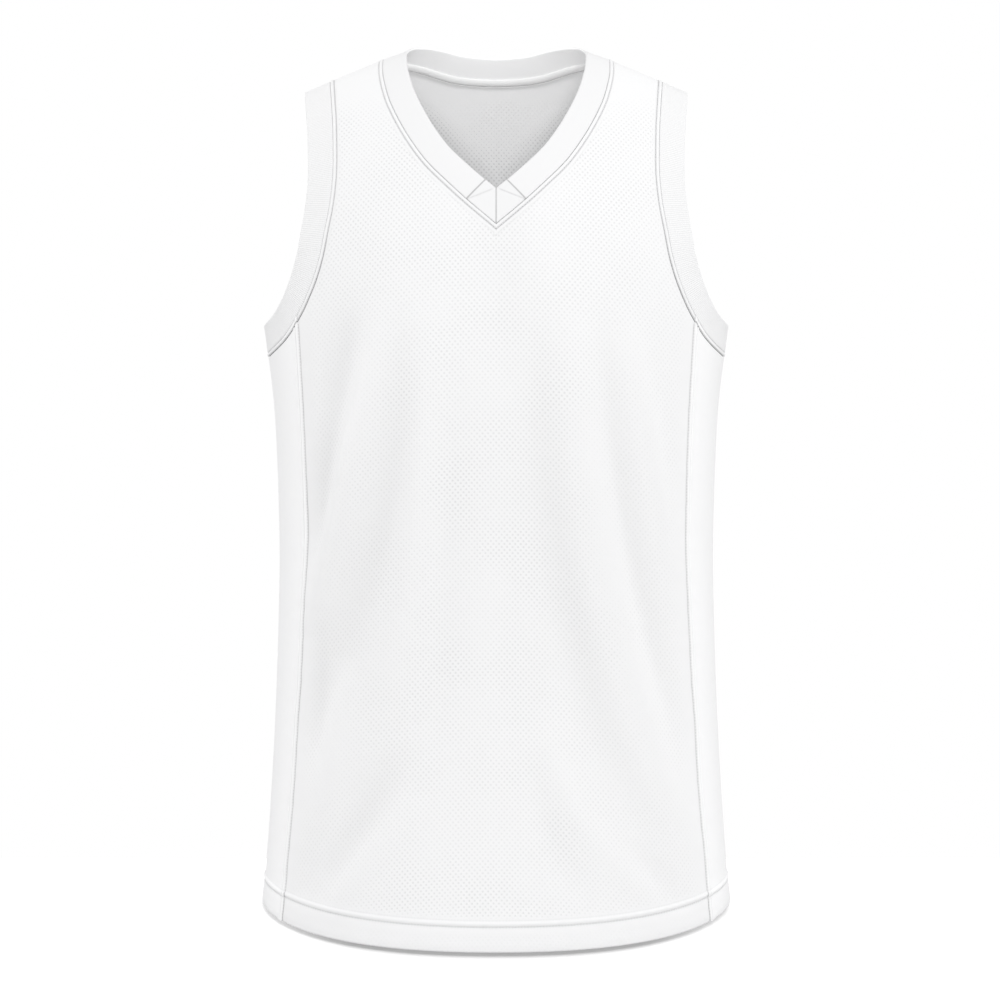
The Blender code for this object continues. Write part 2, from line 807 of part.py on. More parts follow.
def neck_tape():
    """A narrow tape over the back neck seam, inside."""
    s = back_neck_steps()[1:]
    parts = [band_surface(neck_line, s, np.full(len(s), distance), neck_curl(s))
             for distance, _ in TAPE_LINES]
    points = np.stack([part[0] for part in parts], axis=1)
    normals = np.stack([part[1] for part in parts], axis=1)
    points, normals = on_centre(points, normals, -1, 0.0)
    points = points - normals * (BAND_WALL + SEAM_GAP + BEND_ROOM)
    thickness = np.array([line[1] for line in TAPE_LINES])
    wall = Wall()
    for mirror in (False, True):
        wall.add(points, normals, 0.0, thickness, mirror)
    return wall.build("neck_tape", "tape")


def clear_scene():
    """Removes whatever the scene starts with."""
    for item in list(bpy.data.objects):
        bpy.data.objects.remove(item, do_unlink=True)


def main():
    clear_scene()
    panel("front_panel", 1, FRONT_ROWS_TO_V)
    panel("back_panel", -1, BACK_ROWS_TO_NECK)
    side_panel("side_panel_left", False)
    side_panel("side_panel_right", True)
    neckband()
    v_insert("v_insert_left", False)
    v_insert("v_insert_right", True)
    armhole_band("armhole_band_left", False)
    armhole_band("armhole_band_right", True)
    neck_tape()


main()
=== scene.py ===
"""Dresses the basketball jersey: knit cloth, turned edges, folded bands, tape and stitching.

Metres, +Z up, front towards -Y, the wearer's left hand at +X, origin midway between the
shoulders. A place on the cloth is a pair (x, q): x is the distance from the centre line and q
the root of the drop below the shoulder line, positive down the front and negative down the back.
"""

from __future__ import annotations

import itertools
import logging
import math
from dataclasses import dataclass, field
from enum import Enum
from typing import Callable, Sequence

import bpy
import numpy as np
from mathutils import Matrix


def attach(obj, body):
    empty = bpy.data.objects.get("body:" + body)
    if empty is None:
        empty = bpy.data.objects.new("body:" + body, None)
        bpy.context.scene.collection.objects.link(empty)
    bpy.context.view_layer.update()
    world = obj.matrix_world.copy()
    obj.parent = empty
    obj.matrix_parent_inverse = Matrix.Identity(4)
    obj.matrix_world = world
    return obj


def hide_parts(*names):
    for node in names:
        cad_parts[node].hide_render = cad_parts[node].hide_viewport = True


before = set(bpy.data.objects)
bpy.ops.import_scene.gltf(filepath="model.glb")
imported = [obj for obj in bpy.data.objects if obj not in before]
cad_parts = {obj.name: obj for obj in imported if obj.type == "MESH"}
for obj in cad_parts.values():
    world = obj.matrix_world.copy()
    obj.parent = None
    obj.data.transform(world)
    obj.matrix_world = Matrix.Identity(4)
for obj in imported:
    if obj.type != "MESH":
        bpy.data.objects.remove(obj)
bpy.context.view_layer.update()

LOG = logging.getLogger("jersey")
Array = np.ndarray
Line = Callable[[Array], tuple[Array, Array]]
Rows = Sequence[Sequence[float]]
Socket = bpy.types.NodeSocket


class Face(Enum):
    """The two faces of the body, as the sign of q."""

    FRONT = 1
    BACK = -1


class Side(Enum):
    """The wearer's two sides, as the sign of x."""

    LEFT = 1
    RIGHT = -1


class Slot(Enum):
    """Names of four material slots."""

    MESH_KNIT = "mesh_knit"
    SMOOTH_KNIT = "smooth_knit"
    RIB_KNIT = "rib_knit"
    TAPE = "tape"


# Tolerances and steps of the working
NUDGE = 1e-4
NEAR_RIDGE = 0.25
FINE = 600
SETTLE = 25
WELD = 1e-6
SHARP_ANGLE = math.radians(50)

# Values of s round the V of the neck, and round the underarm
V_SPAN = (-0.2, 0.6)
UNDERARM_SPAN = (0.55, 1.45)

# What each piece's mesh tells its finish, the noise that is used, and plain white; painted_shade is
# painted shade of the folds and side panels, crease is painted shade along sewn lines
MARKS = ("dots", "crease", "seam", "painted_shade")
NOISE_SPAN = (0.3, 0.7)
WHITE = (1.0, 1.0, 1.0, 1.0)

# height, half width at the side line
WIDTHS = (
    (-0.790, 0.2085), (-0.713, 0.2026), (-0.670, 0.1986), (-0.588, 0.1928), (-0.500, 0.1886),
    (-0.453, 0.1871), (-0.410, 0.1863), (-0.367, 0.1869), (-0.324, 0.1882), (-0.281, 0.1906),
    (-0.241, 0.1953), (-0.200, 0.2015), (-0.140, 0.2060), (-0.060, 0.2085), (0.040, 0.2090),
)

# drop below the shoulder line, depth of the front, depth of the back
PROFILE = (
    (0.003, 0.0145, 0.0145), (0.012, 0.0290, 0.0295), (0.030, 0.0475, 0.0490),
    (0.060, 0.0690, 0.0730), (0.100, 0.0900, 0.0940), (0.150, 0.1080, 0.1090),
    (0.200, 0.1190, 0.1160), (0.260, 0.1255, 0.1180), (0.350, 0.1255, 0.1120),
    (0.450, 0.1215, 0.1050), (0.550, 0.1195, 0.1050), (0.650, 0.1215, 0.1110),
    (0.740, 0.1250, 0.1170), (0.830, 0.1280, 0.1210),
)

# Neck seam of one half: place along it (0 at the V, 1 on the shoulder, 2 at the back centre),
# distance out, q
NECK_SEAM = (
    (0.000, 0.0000, 0.4079), (0.051, 0.0134, 0.3930), (0.096, 0.0250, 0.3776),
    (0.152, 0.0382, 0.3566), (0.228, 0.0548, 0.3255), (0.338, 0.0717, 0.2793),
    (0.416, 0.0803, 0.2465), (0.504, 0.0877, 0.2085), (0.669, 0.0948, 0.1386),
    (0.850, 0.0965, 0.0640), (1.000, 0.0955, 0.0000), (1.200, 0.0895, -0.0600),
    (1.500, 0.0675, -0.1300), (1.750, 0.0365, -0.1900), (2.000, 0.0000, -0.2120),
    (2.250, -0.0365, -0.1900),
)

# Armhole seam: share of the height from the shoulder to the side line, then the distance out
# as a share of the half width, on the front and on the back
ARMHOLE = (
    (0.000, 0.677, 0.677), (0.070, 0.668, 0.658), (0.150, 0.660, 0.640), (0.250, 0.656, 0.629),
    (0.350, 0.657, 0.628), (0.450, 0.670, 0.640), (0.550, 0.694, 0.665), (0.650, 0.721, 0.697),
    (0.750, 0.764, 0.744), (0.850, 0.828, 0.815), (0.930, 0.902, 0.896), (1.000, 1.000, 1.000),
)

# Side seams: height, distance out
SIDE_SEAM = (
    (-0.740, 0.1835), (-0.703, 0.1802), (-0.669, 0.1774), (-0.634, 0.1737), (-0.599, 0.1709),
    (-0.548, 0.1680), (-0.513, 0.1651), (-0.479, 0.1632), (-0.445, 0.1612), (-0.402, 0.1592),
    (-0.359, 0.1595), (-0.300, 0.1608), (-0.242, 0.1636), (-0.200, 0.1660),
)

# Neckband: place along the half seam, width, how strongly it bends inwards
NECK_BAND = (
    (0.00, 0.0245, 8.0), (0.12, 0.0230, 8.0), (0.50, 0.0226, 8.0), (0.85, 0.0212, 8.0),
    (1.00, 0.0207, 8.0), (1.30, 0.0218, 3.0), (1.65, 0.0236, -5.0), (2.00, 0.0232, -6.0),
)

# Main folds of the front and the back: height of the upper and lower end, distance out at the
# upper end, middle and lower end, half breadth, rise (a trough is negative)
FRONT_FOLDS = (
    (-0.195, -0.445, -0.120, -0.140, -0.156, 0.012, -0.0034),
    (-0.185, -0.474, -0.098, -0.1285, -0.159, 0.012, 0.0028),
    (-0.185, -0.580, -0.074, -0.100, -0.166, 0.016, -0.0030),
    (-0.180, -0.530, -0.064, -0.066, -0.092, 0.015, 0.0028),
    (-0.490, -0.670, -0.122, -0.142, -0.162, 0.013, 0.0034),
    (-0.560, -0.705, -0.084, -0.118, -0.165, 0.016, -0.0028),
    (-0.600, -0.715, -0.066, -0.105, -0.140, 0.014, 0.0022),
    (-0.185, -0.600, 0.088, 0.1155, 0.158, 0.012, -0.0034),
    (-0.195, -0.460, 0.106, 0.135, 0.152, 0.010, 0.0028),
    (-0.200, -0.690, 0.068, 0.103, 0.178, 0.014, 0.0036),
    (-0.185, -0.700, 0.043, 0.0605, 0.165, 0.017, -0.0035),
    (-0.530, -0.700, 0.048, 0.067, 0.130, 0.013, 0.0026),
    (-0.560, -0.710, 0.034, 0.048, 0.085, 0.012, -0.0016),
)
BACK_FOLDS = (
    (-0.120, -0.330, -0.105, -0.092, -0.112, 0.016, -0.0030),
    (-0.250, -0.520, -0.128, -0.117, -0.137, 0.014, 0.0026),
    (-0.330, -0.640, -0.082, -0.105, -0.150, 0.016, -0.0032),
    (-0.480, -0.690, -0.040, -0.060, -0.100, 0.014, 0.0024),
    (-0.140, -0.350, 0.098, 0.086, 0.110, 0.016, -0.0028),
    (-0.270, -0.560, 0.120, 0.110, 0.142, 0.014, 0.0026),
    (-0.380, -0.670, 0.070, 0.098, 0.146, 0.015, -0.0032),
    (-0.420, -0.600, 0.020, 0.030, 0.052, 0.013, -0.0022),
)

# Softer creases between them, in the same columns
FRONT_CREASES = (
    (-0.060, -0.270, 0.000, 0.010, 0.018, 0.026, -0.0016),
    (-0.240, -0.620, -0.034, -0.037, -0.043, 0.014, -0.0009),
    (-0.220, -0.700, -0.010, -0.010, 0.004, 0.018, 0.0012),
    (-0.230, -0.420, 0.127, 0.143, 0.155, 0.007, -0.0010),
    (-0.180, -0.330, -0.1535, -0.1515, -0.150, 0.0045, 0.0011),
    (-0.225, -0.400, -0.1075, -0.1252, -0.1430, 0.0045, 0.0026),
    (-0.345, -0.475, -0.1325, -0.1450, -0.1590, 0.0045, 0.0028),
    (-0.445, -0.600, -0.146, -0.149, -0.153, 0.008, -0.0027),
    (-0.300, -0.410, -0.141, -0.1475, -0.153, 0.008, -0.0023),
    (-0.180, -0.285, -0.118, -0.126, -0.138, 0.014, -0.0014),
    (-0.600, -0.700, -0.115, -0.140, -0.160, 0.009, 0.0009),
    (-0.640, -0.712, 0.112, 0.138, 0.160, 0.009, -0.0012),
    (-0.100, -0.190, -0.080, -0.098, -0.118, 0.018, 0.0010),
    (-0.090, -0.180, 0.076, 0.092, 0.120, 0.018, 0.0010),
)
BACK_CREASES = (
    (-0.180, -0.340, -0.148, -0.139, -0.150, 0.008, 0.0009),
    (-0.200, -0.380, 0.146, 0.138, 0.150, 0.008, 0.0009),
    (-0.430, -0.620, -0.150, -0.152, -0.163, 0.009, -0.0009),
    (-0.500, -0.690, 0.118, 0.132, 0.158, 0.010, 0.0010),
    (-0.560, -0.700, 0.010, 0.022, 0.050, 0.012, 0.0009),
)

# Waves of the puckers beside a side seam: strength, waves in a pitch, shift by the sign of the
# face, by the sign of the side and by each metre out
PUCKERS = ((1.0, 1.00, 2.0, 0.0, 0.0), (0.6, 1.73, 0.0, 0.0, 40.0), (0.5, 0.61, 0.0, 1.3, 0.0))

FOLDS = ((Face.FRONT, FRONT_FOLDS), (Face.BACK, BACK_FOLDS), (Face.FRONT, FRONT_CREASES),
         (Face.BACK, BACK_CREASES))


def lerp(start: Array | float, end: Array | float, share: Array | float) -> Array | float:
    """The value at a share of the way from start to end."""
    return start + (end - start) * share


def ease(low: float, high: float, value: Array | float) -> Array:
    """0 below low, 1 above high, and smooth between."""
    t = np.clip((value - low) / (high - low), 0, 1)
    return t * t * (3 - 2 * t)


def unit(vector: Array) -> Array:
    """The vectors at length one."""
    return vector / np.linalg.norm(vector, axis=-1, keepdims=True)


def flipped(side: Side) -> Array:
    """Factors that put a point of the left side on the given side."""
    return np.array([float(side.value), 1.0, 1.0])


class Curve:
    """A smooth curve through the rows of a short table, straight beyond its ends."""

    def __init__(self, rows: Rows, column: int) -> None:
        """Fits the curve.

        Args:
            rows: The table, with the place along the curve in its first column.
            column: The column that holds the values.
        """
        self.at = np.array([row[0] for row in rows])
        self.value = np.array([row[column] for row in rows])
        step = np.diff(self.at)
        slope = np.diff(self.value) / step
        inner = (slope[:-1] * step[1:] + slope[1:] * step[:-1]) / (step[1:] + step[:-1])
        first = 1.5 * slope[0] - 0.5 * inner[0]
        last = 1.5 * slope[-1] - 0.5 * inner[-1]
        self.tangent = np.concatenate([[first], inner, [last]])

    def __call__(self, where: Array | float) -> Array:
        """The curve's value at each place.

        Args:
            where: Places along the curve, also past its ends.

        Returns:
            The values there.
        """
        where = np.asarray(where, float)
        inside = np.clip(where, self.at[0], self.at[-1])
        i = np.clip(np.searchsorted(self.at, inside, side="right") - 1, 0, len(self.at) - 2)
        width = self.at[i + 1] - self.at[i]
        t = (inside - self.at[i]) / width
        curve = self.value[i] * (1 + 2 * t) * (1 - t) ** 2
        curve += self.tangent[i] * width * t * (1 - t) ** 2
        curve += self.value[i + 1] * t * t * (3 - 2 * t)
        curve += self.tangent[i + 1] * width * t * t * (t - 1)
        beyond = np.where(where < self.at[0], self.tangent[0], self.tangent[-1])
        return curve + (where - inside) * beyond


def rooted(profile: Rows) -> list[tuple[float, float]]:
    """The profile's depths against q: the back first, then the ridge, then the front.

    Args:
        profile: Drops, each with the depth of the front and of the back.

    Returns:
        Rows of q and y.
    """
    back = [(-math.sqrt(drop), depth) for drop, _, depth in reversed(profile)]
    front = [(math.sqrt(drop), -depth) for drop, depth, _ in profile]
    return back + [(0.0, 0.0)] + front


@dataclass
class Form:
    """The smooth worn shape of the garment, with its folds."""

    shoulder_slope: float = 0.437
    shoulder_softness: float = 0.040
    shoulder_middle: float = 0.1215
    ridge_back: float = 0.010
    ridge_fade: float = 0.070
    section_power: float = 2.7
    fold_taper: float = 1.0
    fold_calm: tuple[float, float] = (0.86, 0.97)
    full_fold: float = 0.003
    painted_shade_limit: float = 1.6
    pucker_height: float = 0.00008
    pucker_reach: float = 0.011
    pucker_pitch: float = 0.021
    pucker_top: float = -0.24
    half_width: Curve = Curve(WIDTHS, 1)
    depth_at: Curve = Curve(rooted(PROFILE), 1)
    side_out: Curve = Curve(SIDE_SEAM, 1)

    def ridge(self, x: Array | float) -> Array:
        """Height of the shoulder line."""
        top = math.hypot(self.shoulder_middle, self.shoulder_softness)
        return self.shoulder_slope * (top - np.hypot(x, self.shoulder_softness))

    def height(self, x: Array | float, q: Array | float) -> Array:
        """Height of a place on the cloth."""
        return self.ridge(x) - q * q

    def root_drop(self, x: Array | float, z: Array | float, face: Array | int) -> Array:
        """The q of a height, on the front (face 1) or the back (face -1)."""
        return face * np.sqrt(np.maximum(self.ridge(x) - z, 0))

    def bare(self, x: Array, q: Array) -> Array:
        """Points of the form without its folds.

        Args:
            x: Distances out from the centre line.
            q: Roots of the drops.

        Returns:
            The points.
        """
        z = self.height(x, q)
        share = np.clip(np.abs(x) / self.half_width(z), 0, 1)
        y = self.ridge_back * np.exp(-q * q / self.ridge_fade)
        y = y + self.depth_at(q) * np.sqrt(1 - share**self.section_power)
        return np.stack(np.broadcast_arrays(x, y, z), axis=-1)

    def ringed(self, angle: Array, z: Array, face: Array | int) -> tuple[Array, Array]:
        """(x, q) at an angle from the centre line, where a quarter turn is the side line.

        Args:
            angle: Angles from the centre line.
            z: Heights.
            face: The face that the angles start on: 1 or -1.

        Returns:
            x and q.
        """
        x = self.half_width(z) * np.sin(angle)
        past = np.where(np.cos(angle) < 0, -face, face)
        return x, self.root_drop(x, z, past)

    def around(self, x: Array, q: Array) -> tuple[Array, Array, Array]:
        """Face, height and ring angle of a place."""
        z = self.height(x, q)
        return np.where(q < 0, -1, 1), z, np.arcsin(np.clip(x / self.half_width(z), -1, 1))

    def spans(self, x: Array, q: Array) -> tuple[Array, Array, Array]:
        """Two tangents of the form and its outward normal.

        Args:
            x: Distances out from the centre line.
            q: Roots of the drops.

        Returns:
            The tangents by x and q near the ridge, or by angle and height, and the normal.
        """
        face, z, angle = self.around(x, q)
        by_x = (self.bare(x + NUDGE, q) - self.bare(x - NUDGE, q)) / (2 * NUDGE)
        by_q = (self.bare(x, q + NUDGE) - self.bare(x, q - NUDGE)) / (2 * NUDGE)
        by_angle = self.bare(*self.ringed(angle + NUDGE, z, face))
        by_angle = by_angle - self.bare(*self.ringed(angle - NUDGE, z, face))
        by_height = self.bare(*self.ringed(angle, z + NUDGE, face))
        by_height = by_height - self.bare(*self.ringed(angle, z - NUDGE, face))
        close = (np.abs(q) < NEAR_RIDGE)[..., None]
        first = np.where(close, by_x, by_angle / (2 * NUDGE))
        second = np.where(close, by_q, by_height / (2 * NUDGE))
        outward = np.where(close, -1, face[..., None]) * np.cross(first, second)
        return first, second, unit(outward)

    def creased(self, x: Array, q: Array) -> Array:
        """How far all the folds lift the cloth: they calm down towards the side line.

        Args:
            x: Distances out from the centre line.
            q: Roots of the drops.

        Returns:
            The lift, in metres.
        """
        z = self.height(x, q)
        total = np.zeros(np.shape(z))
        for face, folds in FOLDS:
            for upper, lower, top, middle, bottom, breadth, rise in folds:
                v = (z - upper) / (lower - upper)
                bend = 2 * (top + bottom - 2 * middle)
                path = top + (4 * middle - 3 * top - bottom) * v + bend * v * v
                lean = (4 * middle - 3 * top - bottom + 2 * bend * v) / (lower - upper)
                away = (x - path) / np.hypot(1, lean) / breadth
                along = np.sin(math.pi * np.clip(v, 0, 1)) ** self.fold_taper
                lifted = rise * np.exp(-away * away) * along
                total = total + np.where(q * face.value > 0, lifted, 0)
        return total * (1 - ease(*self.fold_calm, np.abs(x) / self.half_width(z)))

    def puckers(self, x: Array, q: Array) -> Array:
        """Small uneven gathers beside the side seams.

        Args:
            x: Distances out from the centre line.
            q: Roots of the drops.

        Returns:
            The lift, in metres.
        """
        z = self.height(x, q)
        away = (np.abs(x) - self.side_out(z)) / self.pucker_reach
        turn = 2 * math.pi / self.pucker_pitch
        wave = sum(strength * np.sin(waves * turn * z + by_face * np.sign(q)
                                     + by_side * np.sign(x) + by_metre * x)
                   for strength, waves, by_face, by_side, by_metre in PUCKERS)
        return self.pucker_height * wave * np.exp(-away * away) * (z < self.pucker_top)

    def lift(self, x: Array, q: Array) -> Array:
        """All that lifts the cloth from the smooth form."""
        return self.creased(x, q) + self.puckers(x, q)

    def painted_shade(self, x: Array, q: Array, side: Side) -> Array:
        """Painted shade of one half, from how deep a place lies in a fold: 1 in a full trough, -1
        on a full ridge.
        """
        depth = -self.creased(x * side.value, q) / self.full_fold
        return np.clip(depth, -self.painted_shade_limit, self.painted_shade_limit)

    def place(self, x: Array, q: Array) -> tuple[Array, Array]:
        """Points and outward normals of the cloth's outer face.

        Args:
            x: Distances out from the centre line.
            q: Roots of the drops.

        Returns:
            The points and the normals.
        """
        x, q = np.broadcast_arrays(np.asarray(x, float), np.asarray(q, float))
        normal = self.spans(x, q)[2]
        return self.bare(x, q) + normal * self.lift(x, q)[..., None], normal

    def half(self, x: Array, q: Array, side: Side) -> tuple[Array, Array]:
        """Points and normals of places given for the left half, on either half of the body."""
        return self.place(x * side.value, q)

    def shift(self, x: Array, q: Array, step: Array) -> tuple[Array, Array]:
        """Where a short tangent step leads, as (x, q).

        Args:
            x: Distances out from the centre line.
            q: Roots of the drops.
            step: The steps, as vectors.

        Returns:
            x and q after the step.
        """
        first, second, _ = self.spans(x, q)
        a = np.sum(first * first, -1)
        b = np.sum(first * second, -1)
        c = np.sum(second * second, -1)
        u = np.sum(first * step, -1)
        v = np.sum(second * step, -1)
        along_first = (u * c - v * b) / (a * c - b * b)
        along_second = (v * a - u * b) / (a * c - b * b)
        face, z, angle = self.around(x, q)
        ring_x, ring_q = self.ringed(angle + along_first, z + along_second, face)
        close = np.abs(q) < NEAR_RIDGE
        return (np.where(close, x + along_first, ring_x),
                np.where(close, q + along_second, ring_q))


@dataclass
class Seams:
    """The seam lines on the form, drawn for the left half."""

    form: Form
    arm_top: float = 0.1415
    arm_bottom: float = -0.2395
    end_sharpness: float = 8.0
    hem_side: float = -0.713
    hem_sag: float = 0.0208
    hem_soft: float = 0.15
    gap: float = 0.0002
    neck_out: Curve = Curve(NECK_SEAM, 1)
    neck_root: Curve = Curve(NECK_SEAM, 2)
    neck_width: Curve = Curve(NECK_BAND, 1)
    neck_curl: Curve = Curve(NECK_BAND, 2)
    arm_front: Curve = Curve(ARMHOLE, 1)
    arm_back: Curve = Curve(ARMHOLE, 2)

    def neck(self, s: Array) -> tuple[Array, Array]:
        """Neck seam: s is 0 at the V, 1 on the shoulder and 2 at the back centre."""
        return self.neck_out(s), self.neck_root(s)

    def arm(self, s: Array) -> tuple[Array, Array]:
        """Armhole seam: s is 0 on the shoulder, 1 at the side line, then up the back to 2.

        Args:
            s: Places along the seam.

        Returns:
            x and q.
        """
        form = self.form
        top = form.ridge(self.arm_top)
        share = (1 - np.cos(s * math.pi)) / 2
        z = lerp(top, self.arm_bottom, share)
        on_front = np.mod(s, 2) <= 1
        out = np.where(on_front, self.arm_front(share), self.arm_back(share))
        ends = self.arm_top / form.half_width(top) - ARMHOLE[0][1]
        x = (out + ends * (1 - share) ** self.end_sharpness) * form.half_width(z)
        return x, form.root_drop(x, z, np.where(on_front, 1, -1))

    def hem(self, x: Array | float) -> Array:
        """Height of the hem's edge: lowest at the centre of the front and the back.

        Args:
            x: Distances out from the centre line.

        Returns:
            The heights.
        """
        share = np.clip(np.abs(x) / self.form.half_width(self.hem_side), 0, 1)
        level = np.sqrt(1 - share * share + self.hem_soft**2) - self.hem_soft
        return self.hem_side - self.hem_sag * level / (math.hypot(1, self.hem_soft) - self.hem_soft)

    def side_angle(self, z: Array, face: int, distance: float) -> Array:
        """Ring angle of the side seam, moved over the cloth towards the side line.

        Args:
            z: Heights.
            face: 1 for the front, -1 for the back.
            distance: How far it is moved.

        Returns:
            The angles.
        """
        form = self.form
        angle = np.arcsin(form.side_out(z) / form.half_width(z))
        ahead = form.bare(*form.ringed(angle + NUDGE, z, face))
        step = ahead - form.bare(*form.ringed(angle - NUDGE, z, face))
        return angle + distance * 2 * NUDGE / np.linalg.norm(step, axis=-1)

    def side(self, z: Array, face: int, distance: float) -> tuple[Array, Array]:
        """(x, q) of the side seam, moved over the cloth towards the side line."""
        return self.form.ringed(self.side_angle(np.asarray(z, float), face, distance), z, face)

    def side_foot(self, face: int) -> float:
        """Height of the hem's edge at the side seam.

        Args:
            face: 1 for the front, -1 for the back.

        Returns:
            The height.
        """
        z = self.hem_side
        for _ in range(SETTLE):
            z = float(self.hem(self.side(z, face, 0.0)[0]))
        return z

    def across(self, line: Line, s: Array) -> tuple[Array, Array, Array]:
        """Points and normals of a seam line, and the way over the cloth into its opening.

        Args:
            line: The seam line.
            s: Places along it.

        Returns:
            The points, the normals and the unit vectors into the opening.
        """
        point, normal = self.form.place(*line(s))
        ahead, _ = self.form.place(*line(s + NUDGE))
        behind, _ = self.form.place(*line(s - NUDGE))
        return point, normal, unit(np.cross(normal, unit(ahead - behind)))

    def beside(self, line: Line, s: Array, distance: Array | float) -> tuple[Array, Array]:
        """A seam line moved sideways over the form: positive into the opening."""
        _, _, across = self.across(line, s)
        return self.form.shift(*line(s), across * np.asarray(distance)[..., None])

    def evenly(self, line: Line, start: float, end: float, count: int,
               distance: float = 0.0) -> Array:
        """Values of s at even steps along a line beside the seam.

        Args:
            line: The seam line.
            start: Its first s.
            end: Its last s.
            count: The number of steps.
            distance: How far beside the seam the line runs.

        Returns:
            count + 1 values of s.
        """
        s = np.linspace(start, end, FINE)
        points, _ = self.form.place(*self.beside(line, s, distance))
        return np.interp(np.linspace(0, run_of(points)[-1], count + 1), run_of(points), s)

    def band(self, line: Line, s: Array, width: Array, curl: Array) -> tuple[Array, Array]:
        """Points and normals of a band that goes on from the cloth beside its seam.

        Args:
            line: The seam line.
            s: Places along it.
            width: Distances from the seam.
            curl: How strongly the band bends inwards.

        Returns:
            The points and the normals.
        """
        point, normal, across = self.across(line, s)
        width = np.asarray(width)[..., None]
        curl = np.asarray(curl)[..., None]
        bent = point + across * width - normal * curl * width**2 / 2
        return bent, unit(normal + across * curl * width)


def run_of(points: Array) -> Array:
    """Distance run along each row of points."""
    steps = np.linalg.norm(np.diff(points, axis=-2), axis=-1)
    return np.concatenate([np.zeros_like(steps[..., :1]), np.cumsum(steps, axis=-1)], axis=-1)


def crossing(values: Array, wanted: float, s: Array) -> float:
    """The s at which the sampled values first pass the wanted one.

    Args:
        values: A value at each s.
        wanted: The value to find.
        s: Places along a line.

    Returns:
        The s, between two of the samples.
    """
    sign = np.sign(values - wanted)
    i = int(np.argmax(sign[:-1] != sign[1:]))
    share = (wanted - values[i]) / (values[i + 1] - values[i])
    return float(lerp(s[i], s[i + 1], share))


def stacked(parts: Sequence[tuple[Array, Array]]) -> tuple[Array, Array]:
    """The points and normals of some lines side by side."""
    return tuple(np.stack([part[k] for part in parts], axis=1) for k in (0, 1))


def in_scene(name: str, data: bpy.types.ID) -> bpy.types.Object:
    """A new object of a mesh, a lamp or a camera, in the scene.

    Args:
        name: The object's name.
        data: What it shows.

    Returns:
        The object.
    """
    made = bpy.data.objects.new(name, data)
    bpy.context.scene.collection.objects.link(made)
    return made


def smooth_piece(name: str, corners: Array, faces: list[list[int]],
                 finish: bpy.types.Material) -> bpy.types.Object:
    """A smooth piece of mesh with its finish, in the scene.

    Args:
        name: The piece's name.
        corners: Places of its corners.
        faces: Corner numbers of each face.
        finish: Its material.

    Returns:
        The new object.
    """
    mesh = bpy.data.meshes.new(name)
    mesh.from_pydata(corners.tolist(), [], faces)
    mesh.update()
    mesh.shade_smooth()
    mesh.materials.append(finish)
    return in_scene(name, mesh)


@dataclass
class Patch:
    """A grid of places on a piece, each with what the mesh and its finish need there.

    Attributes:
        points: Places on the outer face, rows by columns.
        normals: Outward normals there.
        rise: Lift of the outer face.
        thickness: Depth of the inner face below the place.
        cloth: Two coordinates along the cloth, in metres.
        dots: How clearly the mesh knit shows, 0 to 1.
        crease: How much painted shade a sewn line puts on the cloth, 0 to 1.
        seam: Distance along the nearest sewn line, in metres.
        painted_shade: Painted shade, from how deep the place lies in a fold, or how far out it is
            on a side panel.
    """

    points: Array
    normals: Array
    rise: Array | float
    thickness: Array | float
    cloth: Array
    dots: Array | float = 0.0
    crease: Array | float = 0.0
    seam: Array | float = 0.0
    painted_shade: Array | float = 0.0

    def values(self, name: str) -> Array:
        """One of its numbers at every place, row after row."""
        value = np.broadcast_to(getattr(self, name), self.points.shape[:2])
        return value.reshape(-1, 1).astype(float)


